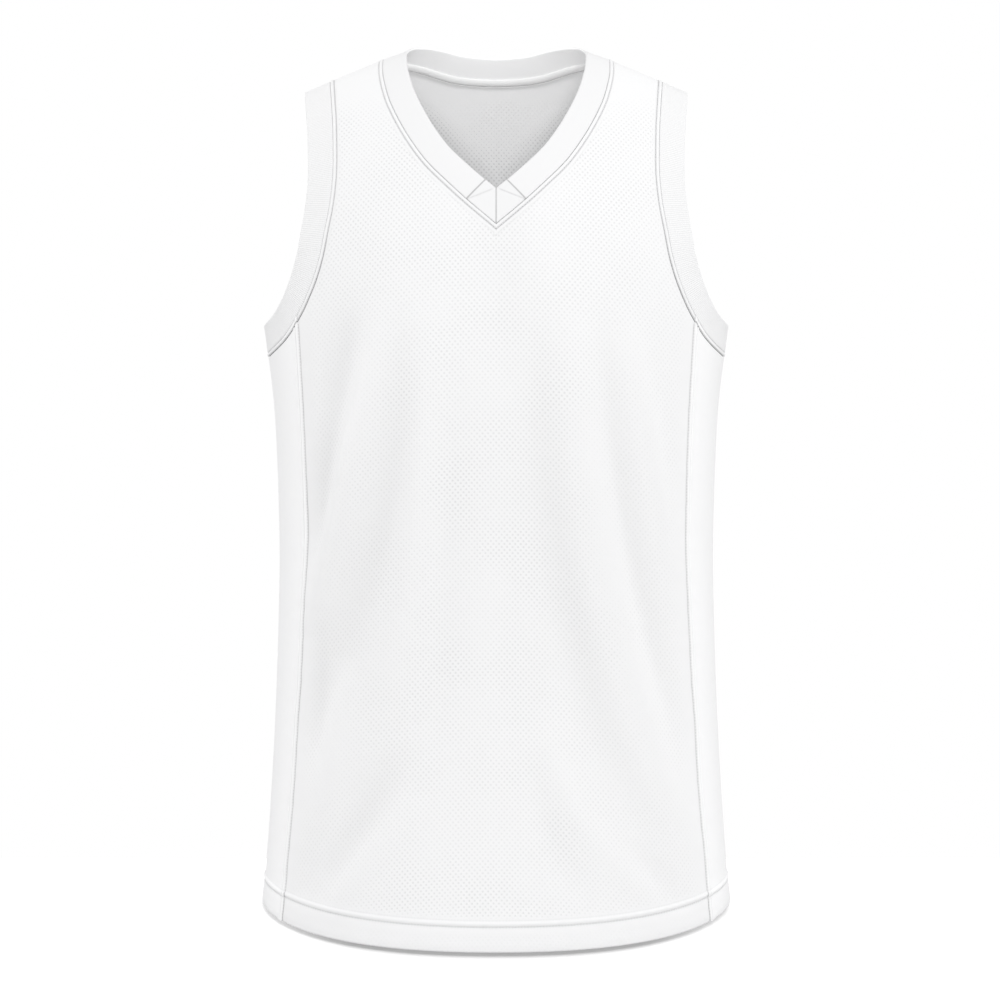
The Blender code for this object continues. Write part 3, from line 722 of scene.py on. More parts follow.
@dataclass
class Cloth:
    """Patches of one piece, welded where they meet and closed into a thin shell."""

    patches: list[Patch] = field(default_factory=list)

    def quads(self) -> Array:
        """Corners of every cell, numbered through all the patches and facing outwards.

        Returns:
            Four corner numbers for each cell.
        """
        found, start = [], 0
        for patch in self.patches:
            rows, columns = patch.points.shape[:2]
            grid = start + np.arange(rows * columns).reshape(rows, columns)
            cells = np.stack([grid[:-1, :-1], grid[:-1, 1:], grid[1:, 1:], grid[1:, :-1]], -1)
            across = patch.points[1:, 1:] - patch.points[:-1, :-1]
            back = patch.points[1:, :-1] - patch.points[:-1, 1:]
            facing = np.sum(np.cross(across, back) * patch.normals[:-1, :-1], -1)
            inside_out = (facing < 0)[..., None]
            found.append(np.where(inside_out, cells[..., ::-1], cells).reshape(-1, 4))
            start += rows * columns
        return np.concatenate(found)

    def build(self, name: str, finish: bpy.types.Material) -> bpy.types.Object:
        """Makes the piece.

        Args:
            name: The piece's name.
            finish: Its material.

        Returns:
            The new object, with its place in its mesh.
        """
        points, normals, cloth = (
            np.concatenate([getattr(patch, part).reshape(-1, width) for patch in self.patches])
            for part, width in (("points", 3), ("normals", 3), ("cloth", 2)))
        rise, thickness, *marks = (
            np.concatenate([patch.values(part) for patch in self.patches])
            for part in ("rise", "thickness", *MARKS))
        keys = np.round(points / WELD).astype(np.int64)
        _, first, index = np.unique(keys, axis=0, return_index=True, return_inverse=True)
        quads = index.reshape(-1)[self.quads()]
        count = len(first)
        outer = (points + normals * rise)[first]
        inner = (points - normals * thickness)[first]

        same = quads == np.roll(quads, 1, axis=1)
        whole = quads[~same.any(axis=1)]
        corners = [[int(c) for c, twin in zip(quad, twins) if not twin]
                   for quad, twins in zip(quads[same.any(axis=1)], same[same.any(axis=1)])]
        corners = [face for face in corners if len(face) > 2]
        edges = [whole[:, [k, (k + 1) % 4]] for k in range(4)]
        edges += [np.array([[face[k - 1], face[k]] for face in corners for k in range(3)],
                           int).reshape(-1, 2)]
        edges = np.concatenate(edges)
        codes = edges[:, 0] * count + edges[:, 1]
        rim = edges[~np.isin(codes, edges[:, 1] * count + edges[:, 0])]
        faces = whole.tolist() + (whole[:, ::-1] + count).tolist()
        faces += corners + [[c + count for c in reversed(face)] for face in corners]
        faces += np.stack([rim[:, 1], rim[:, 0], rim[:, 0] + count, rim[:, 1] + count], 1).tolist()

        piece = smooth_piece(name, np.concatenate([outer, inner]), faces, finish)
        mesh = piece.data
        mesh.set_sharp_from_angle(angle=SHARP_ANGLE)
        loops = np.empty(len(mesh.loops), int)
        mesh.loops.foreach_get("vertex_index", loops)
        flat = np.concatenate([cloth[first], cloth[first]])
        mesh.uv_layers.new(name="cloth").data.foreach_set("uv", flat[loops].ravel())
        marks = [np.tile(mark[first, 0], 2) for mark in marks]
        for mark, values in zip((*MARKS, "inner"), (*marks, np.repeat([0.0, 1.0], count))):
            mesh.attributes.new(mark, "FLOAT", "POINT").data.foreach_set("value", values)
        return piece


# ---- Finishes ----


class Wiring:
    """Adds and links the nodes of one tree."""

    def __init__(self, tree: bpy.types.NodeTree) -> None:
        """Takes the tree to work in."""
        self.tree = tree

    def node(self, kind: str, **values: object) -> bpy.types.Node:
        """A new node with some of its properties set.

        Args:
            kind: The node's type.
            values: Its properties.

        Returns:
            The node.
        """
        made = self.tree.nodes.new(kind)
        for name, value in values.items():
            setattr(made, name, value)
        return made

    def feed(self, target: Socket, value: object) -> None:
        """Sets a socket to a value, or links an output to it.

        Args:
            target: The socket.
            value: A value or an output.
        """
        if isinstance(value, Socket):
            self.tree.links.new(value, target)
        else:
            target.default_value = value

    def math(self, operation: str, *values: object) -> Socket:
        """The result of a sum on numbers and sockets.

        Args:
            operation: The sum's name.
            values: What goes in.

        Returns:
            The result.
        """
        made = self.node("ShaderNodeMath", operation=operation)
        for socket, value in zip(made.inputs, values):
            self.feed(socket, value)
        return made.outputs[0]

    def times(self, first: object, *others: object) -> Socket:
        """The product of some values.

        Args:
            first: One value.
            others: The rest.

        Returns:
            The product.
        """
        for other in others:
            first = self.math("MULTIPLY", first, other)
        return first

    def plus(self, first: object, factor: object, base: object) -> Socket:
        """A value times a factor, added to a base."""
        return self.math("MULTIPLY_ADD", first, factor, base)

    def wave(self, value: object, pitch: object = 1.0) -> Socket:
        """A sine that repeats at every pitch."""
        return self.math("SINE", self.times(self.math("DIVIDE", value, pitch), 2 * math.pi))

    def parts(self, vector: Socket) -> Sequence[Socket]:
        """The X, Y and Z of a vector.

        Args:
            vector: The vector.

        Returns:
            Its three parts.
        """
        split = self.node("ShaderNodeSeparateXYZ")
        self.feed(split.inputs[0], vector)
        return split.outputs

    def place(self, kind: str = "Object") -> Sequence[Socket]:
        """The X, Y and Z of the place that is shaded."""
        return self.parts(self.node("ShaderNodeTexCoord").outputs[kind])

    def tint(self, target: Socket, bright: object, colour: tuple[float, float, float]) -> None:
        """Feeds a colour, darkened as bright falls from 1 to 0.

        Args:
            target: The colour socket.
            bright: How bright it is, 0 to 1.
            colour: The full colour.
        """
        mix = self.node("ShaderNodeMix", data_type="RGBA", blend_type="MIX")
        self.feed(mix.inputs["Factor"], bright)
        mix.inputs["A"].default_value = (0.0, 0.0, 0.0, 1.0)
        mix.inputs["B"].default_value = (*colour, 1.0)
        self.feed(target, mix.outputs["Result"])

    def smooth(self, value: object, low: float, high: float,
               to_low: float = 0.0, to_high: float = 1.0) -> Socket:
        """A smooth step from one value to another.

        Args:
            value: What is read.
            low: Where the step starts.
            high: Where it ends.
            to_low: The result at its start.
            to_high: The result at its end.

        Returns:
            The result.
        """
        made = self.node("ShaderNodeMapRange", interpolation_type="SMOOTHSTEP", clamp=True)
        for name, given in (("Value", value), ("From Min", low), ("From Max", high),
                            ("To Min", to_low), ("To Max", to_high)):
            self.feed(made.inputs[name], given)
        return made.outputs["Result"]

    def noise(self, vector: Socket, scale: float, detail: float = 2.0) -> Socket:
        """Soft noise between 0 and 1.

        Args:
            vector: Where the noise is read.
            scale: How fine it is.
            detail: How many layers it has.

        Returns:
            The noise.
        """
        made = self.node("ShaderNodeTexNoise", noise_dimensions="3D")
        self.feed(made.inputs["Vector"], vector)
        self.feed(made.inputs["Scale"], scale)
        self.feed(made.inputs["Detail"], detail)
        return made.outputs["Fac"]

    def mark(self, name: str) -> Socket:
        """One of the numbers that the cloth carries."""
        return self.node("ShaderNodeAttribute", attribute_name=name,
                         attribute_type="GEOMETRY").outputs["Fac"]

    def cloth(self) -> tuple[Socket, Socket, Socket]:
        """The cloth's coordinates: both together, then across and along.

        Returns:
            The UV vector, across and along.
        """
        uv = self.node("ShaderNodeUVMap", uv_map="cloth").outputs["UV"]
        across, along, _ = self.parts(uv)
        return uv, across, along

    def group(self, group: bpy.types.NodeTree, **values: object) -> Socket:
        """The number that a node group gives for some inputs.

        Args:
            group: The node group.
            values: Its inputs.

        Returns:
            What comes out.
        """
        made = self.node("ShaderNodeGroup", node_tree=group)
        for name, value in values.items():
            self.feed(made.inputs[name.capitalize()], value)
        return made.outputs[0]


def new_material(name: str, values: dict[str, object]) -> tuple[
        bpy.types.Material, bpy.types.bpy_prop_collection, Wiring]:
    """A new material, its shader's inputs with some values set, and its wiring.

    Args:
        name: Its name.
        values: Values of the shader's inputs.

    Returns:
        The material, the shader's inputs and the wiring.
    """
    made = bpy.data.materials.new(name)
    made.use_nodes = True
    sockets = made.node_tree.nodes["Principled BSDF"].inputs
    for socket, value in values.items():
        sockets[socket].default_value = value
    return made, sockets, Wiring(made.node_tree)


class Effects:
    """Node groups that several finishes share."""

    loop_slant = 0.5
    loop_parts = (0.2, 0.6)
    hole_edge = (0.22, 0.66)
    stitch_shade = (0.16, 0.84)

    def __init__(self) -> None:
        """Builds the groups."""
        self.loops = self.knit_loops()
        self.holes = self.mesh_holes()
        self.sewn = self.sewn_line()

    @staticmethod
    def start(name: str, output: str, **inputs: float) -> tuple[
            bpy.types.NodeTree, Wiring, Sequence[Socket], Socket]:
        """A new group of numbers.

        Args:
            name: The group's name.
            output: The name of the number that comes out.
            inputs: Name and default of each number that goes in.

        Returns:
            The group, its wiring, the numbers that go in and the one that comes out.
        """
        tree = bpy.data.node_groups.new(name, "ShaderNodeTree")
        for title, default in inputs.items():
            made = tree.interface.new_socket(name=title, in_out="INPUT",
                                             socket_type="NodeSocketFloat")
            made.default_value = default
        tree.interface.new_socket(name=output, in_out="OUTPUT", socket_type="NodeSocketFloat")
        wires = Wiring(tree)
        given = wires.node("NodeGroupInput").outputs[:len(inputs)]
        return tree, wires, given, wires.node("NodeGroupOutput").inputs[output]

    def knit_loops(self) -> bpy.types.NodeTree:
        """Columns of small slanted loops, as in a fine jersey knit.

        Returns:
            The node group.
        """
        tree, wires, (across, along, wale, course), out = self.start(
            "knit loops", "Height", Across=0.0, Along=0.0, Wale=0.001, Course=0.0008)
        ridge = wires.math("ABSOLUTE", wires.wave(across, wale))
        row = wires.wave(wires.plus(ridge, self.loop_slant, wires.math("DIVIDE", along, course)))
        row_part, ridge_part = self.loop_parts
        wires.feed(out, wires.plus(row, row_part, wires.times(ridge, ridge_part)))
        return tree

    def mesh_holes(self) -> bpy.types.NodeTree:
        """Rows of small round eyelets, every other row moved by half a step.

        Returns:
            The node group.
        """
        tree, wires, (across, along, step, row, size), out = self.start(
            "mesh holes", "Mask", Across=0.0, Along=0.0, Step=0.0046, Row=0.0027, Size=0.0016)
        rows = wires.math("DIVIDE", along, row)
        odd = wires.math("FLOORED_MODULO", wires.math("FLOOR", rows), 2.0)
        columns = wires.plus(odd, 0.5, wires.math("DIVIDE", across, step))
        dx, dy = (wires.times(wires.math("SUBTRACT", wires.math("FRACT", number), 0.5), pitch)
                  for number, pitch in ((columns, step), (rows, row)))
        square = wires.plus(dx, dx, wires.times(dy, dy))
        reach = wires.math("DIVIDE", wires.math("SQRT", square), size)
        wires.feed(out, wires.smooth(reach, *self.hole_edge, 1.0, 0.0))
        return tree

    def sewn_line(self) -> bpy.types.NodeTree:
        """Painted shade along a sewn line, deeper where the thread dips into the cloth.

        Returns:
            The node group.
        """
        tree, wires, (crease, seam, pitch), out = self.start(
            "sewn line", "Shade", Crease=0.0, Seam=0.0, Pitch=0.0026)
        dips = wires.plus(wires.wave(seam, pitch), *self.stitch_shade)
        wires.feed(out, wires.times(crease, dips))
        return tree


@dataclass(frozen=True)
class Knit:
    """A white knit, how it takes light, and the light and shade painted into its colour and glow.
    """

    name: str
    colour: tuple[float, float, float]
    roughness: float = 0.88
    rough_range: float = 0.05
    sheen: float = 0.12
    sheen_roughness: float = 0.5
    specular: float = 0.25
    loop_bump: float = 0.10
    wale: float = 0.0010
    course: float = 0.0008
    crease_shade: float = 0.42
    # Strength of the painted shade in the folds and towards the side line of the side panels
    painted_shade_strength: float = 0.046
    # Painted highlight: the sharpest fold ridges glow faintly
    ridge_highlight_span: tuple[float, float] = (-1.15, -1.6)
    ridge_painted_highlight: float = 0.035
    mottle: float = 0.018
    mottle_scale: float = 160.0
    fibre_scale: float = 2600.0
    rough_scale: float = 900.0
    bump_reach: float = 0.0003
    # Painted light and painted shade of the inner face, as if lit through the neck opening
    glow: float = 0.180
    inner_painted_shade: float = 0.21
    neck_point: float = -0.115
    neck_spread: float = 0.93
    lit_edge: tuple[float, float] = (-0.022, 0.036)
    lit_rise: tuple[float, float] = (-0.100, -0.020)
    lit_range: tuple[float, float] = (0.50, 1.20)

    def neck_painted_light(self, wires: Wiring) -> Socket:
        """Painted light inside, as if it came in through the neck opening: 1 behind its middle, 0
        past its edge.

        Args:
            wires: The material's wiring.

        Returns:
            The share of the light.
        """
        x, _, z = wires.place()
        half = wires.times(wires.math("SUBTRACT", z, self.neck_point), self.neck_spread)
        inside = wires.math("SUBTRACT", half, wires.math("ABSOLUTE", x))
        return wires.smooth(inside, *self.lit_edge)

    def surface(self, wires: Wiring, effects: Effects) -> tuple[object, object]:
        """Darkening and height that only this knit has."""
        return 0.0, 0.0

    def material(self, effects: Effects) -> bpy.types.Material:
        """Builds the material.

        Args:
            effects: The shared node groups.

        Returns:
            The finished material.
        """
        made, sockets, wires = new_material(self.name, {
            "Sheen Weight": self.sheen, "Sheen Roughness": self.sheen_roughness,
            "Specular IOR Level": self.specular, "Emission Strength": 1.0})
        uv, across, along = wires.cloth()
        loops = wires.group(effects.loops, across=across, along=along, wale=self.wale,
                            course=self.course)
        sewn = wires.group(effects.sewn, crease=wires.mark("crease"), seam=wires.mark("seam"))
        own_dark, own_height = self.surface(wires, effects)
        mottle, fibre = (
            wires.plus(wires.noise(uv, scale, detail), -self.mottle, 1.0 + self.mottle / 2)
            for scale, detail in ((self.mottle_scale, 2.0), (self.fibre_scale, 1.0)))
        # Painted shade along the sewn lines
        creased = wires.plus(sewn, -self.crease_shade, 1.0)
        # Painted shade: darker in fold troughs and towards the side line of a side panel
        with_painted_shade = wires.plus(wires.mark("painted_shade"), -self.painted_shade_strength, 1.0)
        # Painted light and shade inside: lighter behind the neck opening, darker away from it
        neck_painted_light = self.neck_painted_light(wires)
        neck_painted_dark = wires.times(wires.math("SUBTRACT", 1.0, neck_painted_light), wires.mark("inner"))
        bright = wires.times(mottle, fibre, wires.math("SUBTRACT", 1.0, own_dark), creased,
                             with_painted_shade, wires.plus(neck_painted_dark, -self.inner_painted_shade, 1.0))
        wires.tint(sockets["Base Color"], bright, self.colour)
        # Painted light: the inner face glows near the neck opening, more strongly higher up
        higher = wires.smooth(wires.place()[2], *self.lit_rise,
                              *(self.glow * share for share in self.lit_range))
        through = wires.times(wires.mark("inner"), neck_painted_light, higher)
        # Painted highlight: the sharpest fold ridges glow faintly
        ridge = wires.smooth(wires.mark("painted_shade"), *self.ridge_highlight_span, 0.0, self.ridge_painted_highlight)
        light = wires.times(wires.math("ADD", through, ridge), bright)
        wires.tint(sockets["Emission Color"], light, (1.0, 1.0, 1.0))
        rough = wires.smooth(wires.noise(uv, self.rough_scale), *NOISE_SPAN,
                             self.roughness - self.rough_range,
                             self.roughness + self.rough_range)
        wires.feed(sockets["Roughness"], rough)
        bump = wires.node("ShaderNodeBump")
        bump.inputs["Strength"].default_value = 1.0
        bump.inputs["Distance"].default_value = self.bump_reach
        wires.feed(bump.inputs["Height"], wires.plus(loops, self.loop_bump, own_height))
        wires.feed(sockets["Normal"], bump.outputs["Normal"])
        return made


@dataclass(frozen=True)
class MeshKnit(Knit):
    """Body cloth: a close knit with rows of eyelets."""

    step: float = 0.0045
    row: float = 0.00255
    size: float = 0.0018
    hole_shade: float = 0.122
    hole_depth: float = 0.40
    # How much darker the eyelets are painted on the inner face, where they show against the light
    inner_holes: float = 0.75
    uneven_scale: float = 16.0
    uneven: tuple[float, float] = (0.60, 1.15)

    def surface(self, wires: Wiring, effects: Effects) -> tuple[object, object]:
        """Eyelets, a little uneven in strength.

        Args:
            wires: The material's wiring.
            effects: The shared node groups.

        Returns:
            The darkening and the height.
        """
        uv, across, along = wires.cloth()
        mask = wires.group(effects.holes, across=across, along=along, step=self.step,
                           row=self.row, size=self.size)
        uneven = wires.smooth(wires.noise(uv, self.uneven_scale), *NOISE_SPAN, *self.uneven)
        shown = wires.times(mask, uneven, wires.mark("dots"))
        # Painted shade: the eyelets show darker on the inner face, as if seen against the light
        seen = wires.plus(wires.mark("inner"), self.inner_holes, 1.0)
        return wires.times(shown, seen, self.hole_shade), wires.times(shown, -self.hole_depth)


@dataclass(frozen=True)
class Ribbed(Knit):
    """Cloth with close lines: ribs across a band, or a slanted twill on the tape."""

    pitch: float = 0.0018
    groove_shade: float = 0.07
    line_height: float = 0.6
    slant: float = 0.0

    def surface(self, wires: Wiring, effects: Effects) -> tuple[object, object]:
        """The lines, and painted shade in the grooves between them.

        Args:
            wires: The material's wiring.
            effects: The shared node groups.

        Returns:
            The darkening and the height.
        """
        _, across, along = wires.cloth()
        lines = wires.wave(wires.plus(across, self.slant, along), self.pitch)
        wave = wires.plus(lines, 0.5, 0.5)
        groove = wires.math("SUBTRACT", 1.0, wave)
        return wires.times(groove, self.groove_shade), wires.times(wave, self.line_height)


@dataclass(frozen=True)
class ThreadFinish:
    """Twisted white sewing thread."""

    name: str = "sewing_thread"
    colour: tuple[float, float, float] = (0.84, 0.84, 0.85)
    twist: float = 0.0005
    sheen: float = 0.1
    # Painted shade in the grooves of the twist
    shade: tuple[float, float] = (0.04, 0.96)
    roughness: tuple[float, float] = (0.6, 0.75)

    def material(self) -> bpy.types.Material:
        """Builds the material.

        Returns:
            The finished material.
        """
        made, sockets, wires = new_material(self.name, {"Sheen Weight": self.sheen})
        x, y, z = wires.place()
        wave = wires.wave(wires.math("ADD", wires.math("ADD", x, y), z), self.twist)
        wires.tint(sockets["Base Color"], wires.plus(wave, *self.shade), self.colour)
        wires.feed(sockets["Roughness"], wires.smooth(wave, -1.0, 1.0, *self.roughness))
        return made


# ---- Turned edges ----

# Line across a turned edge: distance from the seam, rise of the outer face, crease
STRIP = (
    (0.00010, -0.0002, 0.40), (0.00045, 0.0003, 0.10), (0.00090, 0.0005, 0.00),
    (0.00170, 0.0006, 0.00), (0.00240, 0.0005, 0.00), (0.00285, 0.0001, 0.45),
    (0.00320, -0.0005, 1.00), (0.00365, -0.0002, 0.60), (0.00450, 0.0001, 0.00),
    (0.00600, 0.0000, 0.00),
)

# The same beside a side seam
SIDE_STRIP = (
    (0.0001, -0.0004, 0.80), (0.0007, 0.0000, 0.50), (0.0014, 0.0007, 0.05),
    (0.0024, 0.0010, 0.00), (0.0034, 0.0008, 0.00), (0.0040, 0.0002, 0.50), (0.0046, 0.0005, 0.05),
    (0.0056, 0.0007, 0.00), (0.0068, 0.0004, 0.00), (0.0085, 0.0000, 0.00),
)

# Line across the hem: height above the edge, rise, crease
HEM = (
    (0.0000, -0.0003, 0.15), (0.0006, 0.0003, 0.05), (0.0016, 0.0005, 0.00),
    (0.0070, 0.0006, 0.00), (0.0130, 0.0005, 0.00), (0.0185, 0.0006, 0.00), (0.0204, 0.0003, 0.15),
    (0.0211, 0.0000, 0.55), (0.0217, 0.0001, 0.45), (0.0223, 0.0006, 0.05), (0.0232, 0.0011, 0.00),
    (0.0243, 0.0012, 0.00), (0.0254, 0.0009, 0.00), (0.0263, 0.0003, 0.12), (0.0269, 0.0000, 0.22),
    (0.0280, 0.0000, 0.00),
)


def table_columns(table: Rows) -> tuple[Array, ...]:
    """The columns of a short table."""
    return tuple(np.array(column) for column in zip(*table))


@dataclass
class BodyPanel:
    """Front or back of the body: turned edges at neck and armholes, and a folded hem."""

    seams: Seams
    face: Face
    rows_to_neck: int
    thickness: float = 0.0011
    chest_level: float = -0.212
    body_rows: int = 150
    chest_rows: int = 112
    columns: int = 62
    close_columns: tuple[float, ...] = (0.985, 0.991, 0.995, 0.998, 1.0)
    fade: tuple[float, float] = (-0.055, -0.012)
    flank: tuple[float, float] = (0.05, 0.14)
    flank_fade: tuple[float, float] = (-0.240, -0.140)
    side_fade: tuple[float, float] = (0.003, 0.016)
    row_sag: float = 0.8
    hem_dots: float = 0.22
    hem_fade: tuple[float, float] = (-0.0005, 0.003)
    seam_line: tuple[float, float] = (0.0001, 0.0010)
    seam_shade: float = 0.75
    seam_groove: float = 0.0004
    underarm: tuple[float, float] = (-0.110, -0.200)
    underarm_out: tuple[float, float] = (0.10, 0.13)
    soft_line: float = 0.75
    deep_line: float = 1.5
    flank_dots: float = 0.45

    def edge(self, line: Line, distance: float, start: float, end: float,
             steps: int) -> tuple[Array, Array, Array]:
        """One line of a turned edge: x, q and the distance run along it.

        Args:
            line: The seam line.
            distance: How far outside the opening it runs.
            start: Its first s.
            end: Its last s.
            steps: The number of steps.

        Returns:
            x, q and the distance run.
        """
        seams, form = self.seams, self.seams.form
        s = seams.evenly(line, start, end, steps, -distance)
        x, q = seams.beside(line, s, -distance)
        q[-1] = 0.0
        slope = abs(form.depth_at(NUDGE) - form.depth_at(-NUDGE)) / (2 * NUDGE)
        q = self.face.value * np.maximum(np.abs(q), seams.gap / 2 / slope)
        return x, q, run_of(form.bare(x, q))

    def neck_edges(self) -> list[tuple[Array, Array, Array]]:
        """Lines of the turned neck edge, from the centre line to the shoulder.

        Returns:
            For each line x, q and the distance run.
        """
        seams, lines = self.seams, []
        for distance, _, _ in STRIP:
            start = 2.0
            if self.face is Face.FRONT:
                s = np.linspace(*V_SPAN, FINE)
                start = crossing(seams.beside(seams.neck, s, -distance)[0], 0, s)
            line = self.edge(seams.neck, distance, start, 1.0, self.chest_rows - self.rows_to_neck)
            line[0][0] = 0.0
            lines.append(line)
        return lines

    def arm_edges(self) -> list[tuple[Array, Array, Array]]:
        """Lines of the turned armhole edge, from the side seam to the shoulder.

        Returns:
            For each line x, q and the distance run.
        """
        seams, form, lines = self.seams, self.seams.form, []
        top = 0.0 if self.face is Face.FRONT else 2.0
        for distance, _, _ in STRIP:
            s = np.linspace(1.0, top, FINE)
            x, q = seams.beside(seams.arm, s, -distance)
            seam_x, _ = seams.side(form.height(x, q), self.face.value, -seams.gap / 2)
            start = crossing(x - seam_x, 0, s)
            lines.append(self.edge(seams.arm, distance, start, top, self.chest_rows))
        return lines

    def add_edge(self, cloth: Cloth, lines: list[tuple[Array, Array, Array]]) -> None:
        """Adds both halves of a turned edge to the cloth: its line is deepest under the arm.

        Args:
            cloth: The panel's cloth.
            lines: The edge's lines.
        """
        x, q, run = (np.stack([line[k] for line in lines], axis=-1) for k in range(3))
        distance, rise, crease = table_columns(STRIP)
        low = 1 - ease(*reversed(self.underarm), self.seams.form.height(x, q))
        low = low * ease(*self.underarm_out, x)
        rise = np.where(rise < 0, rise * (1 + 2 * low), rise)
        # Painted shade of the sewn line, deepest under the arm
        crease = crease * lerp(self.soft_line, self.deep_line, low)
        flat = np.stack([run, np.broadcast_to(distance, run.shape)], -1)
        for side in Side:
            points, normals = self.seams.form.half(x, q, side)
            painted_shade = self.seams.form.painted_shade(x, q, side)
            cloth.patches.append(Patch(points, normals, rise, self.thickness, flat, 0.0, crease,
                                       run, painted_shade))

    def rows(self, neck: tuple[Array, Array], arm: tuple[Array, Array]) -> list[list[float]]:
        """Rows of the grid from the hem up.

        Args:
            neck: x and q of the grid's neck edge.
            arm: x and q of its armhole edge.

        Returns:
            For each row: inner x, inner height, outer x, outer height, how far it follows the
            hem, how far it follows the shoulder line, rise, crease and height above the hem.
        """
        seams, form, face = self.seams, self.seams.form, self.face.value
        corner = float(form.height(arm[0][0], arm[1][0]))
        point = float(form.height(neck[0][0], neck[1][0]))
        foot = seams.side_foot(face)
        found = []
        for above, rise, crease in HEM:
            outer = seams.side(foot + above, face, -seams.gap / 2)
            found.append([0.0, float(seams.hem(0)) + above, float(outer[0]), foot + above,
                          1.0, 0.0, rise, crease])
        top = HEM[-1][0]
        for i in range(1, self.body_rows):
            share = i / self.body_rows
            outer_z = lerp(foot + top, corner, share)
            outer = seams.side(outer_z, face, -seams.gap / 2)
            inner_z = lerp(float(seams.hem(0)) + top, self.chest_level, share)
            found.append([0.0, inner_z, float(outer[0]), outer_z, 1 - share, 0.0, 0.0, 0.0])
        for i in range(self.chest_rows + 1):
            share = min(1.0, i / self.rows_to_neck)
            if i < self.rows_to_neck:
                inner = (0.0, lerp(self.chest_level, point, share))
            else:
                k = i - self.rows_to_neck
                inner = (float(neck[0][k]), float(form.height(neck[0][k], neck[1][k])))
            outer = (float(arm[0][i]), float(form.height(arm[0][i], arm[1][i])))
            found.append([*inner, *outer, 0.0, share, 0.0, 0.0])
        return found

    def grid(self, rows: list[list[float]]) -> tuple[Array, Array, Array, Array]:
        """x, q, rise and crease over the grid of one half.

        Args:
            rows: The rows, as the method above gives them.

        Returns:
            The four grids, rows by columns.
        """
        seams, form = self.seams, self.seams.form
        even = np.linspace(0, self.close_columns[0], self.columns)
        across = np.concatenate([even, self.close_columns[1:]])
        found = ([], [], [], [])
        for inner_x, inner_z, outer_x, outer_z, hemmed, draped, up, crease in rows:
            x = lerp(inner_x, outer_x, across)
            sag = seams.hem(x) - lerp(seams.hem(inner_x), seams.hem(outer_x), across)
            level = lerp(inner_z, outer_z, across) + hemmed * sag
            drop = lerp(form.ridge(inner_x) - inner_z, form.ridge(outer_x) - outer_z, across)
            z = lerp(level, form.ridge(x) - drop, draped)
            found[0].append(x)
            found[1].append(form.root_drop(x, z, self.face.value))
            found[2].append(np.full(len(across), up))
            found[3].append(np.full(len(across), crease))
        return tuple(np.array(values) for values in found)

    def build(self, name: str, finish: bpy.types.Material) -> bpy.types.Object:
        """Makes the panel.

        Args:
            name: The piece's name.
            finish: Its material.

        Returns:
            The new object.
        """
        seams, form = self.seams, self.seams.form
        cloth = Cloth()
        neck, arm = self.neck_edges(), self.arm_edges()
        self.add_edge(cloth, neck)
        self.add_edge(cloth, arm)
        x, q, rise, crease = self.grid(self.rows(neck[-1][:2], arm[-1][:2]))
        z = form.height(x, q)
        middle = form.bare(np.zeros(FINE), np.linspace(0, 1, FINE) * self.face.value)
        level = np.sqrt(np.maximum(form.ridge(0) - z - self.row_sag * x * x, 0))
        long = np.interp(level, np.linspace(0, 1, FINE), run_of(middle))
        wide = x[:, :1] + run_of(form.bare(x, q))
        flank = ease(*self.flank, x) * (1 - ease(*self.flank_fade, z))
        dots = (1 - ease(*self.fade, z)) * (1 - self.flank_dots * flank)
        above = z - seams.hem(x)
        folded = self.hem_dots * (1 - ease(HEM[4][0], HEM[5][0], above))
        dots = dots * np.maximum(ease(*self.hem_fade, above - HEM[-1][0]), folded)
        inside = seams.form.side_out(z) - x
        dots = dots * ease(*self.side_fade, inside)
        # Painted shade beside the side seam, with a shallow groove
        sewn = self.seam_shade * (1 - ease(*self.seam_line, inside))
        sewn = sewn * (z < z[-self.chest_rows, -1])
        crease = np.maximum(crease, sewn)
        rise = rise - self.seam_groove * sewn
        for side in Side:
            points, normals = form.half(x, q, side)
            flat = np.stack([wide * side.value, long], -1)
            cloth.patches.append(Patch(points, normals, rise, self.thickness, flat, dots, crease,
                                       wide, form.painted_shade(x, q, side)))
        return cloth.build(name, finish)


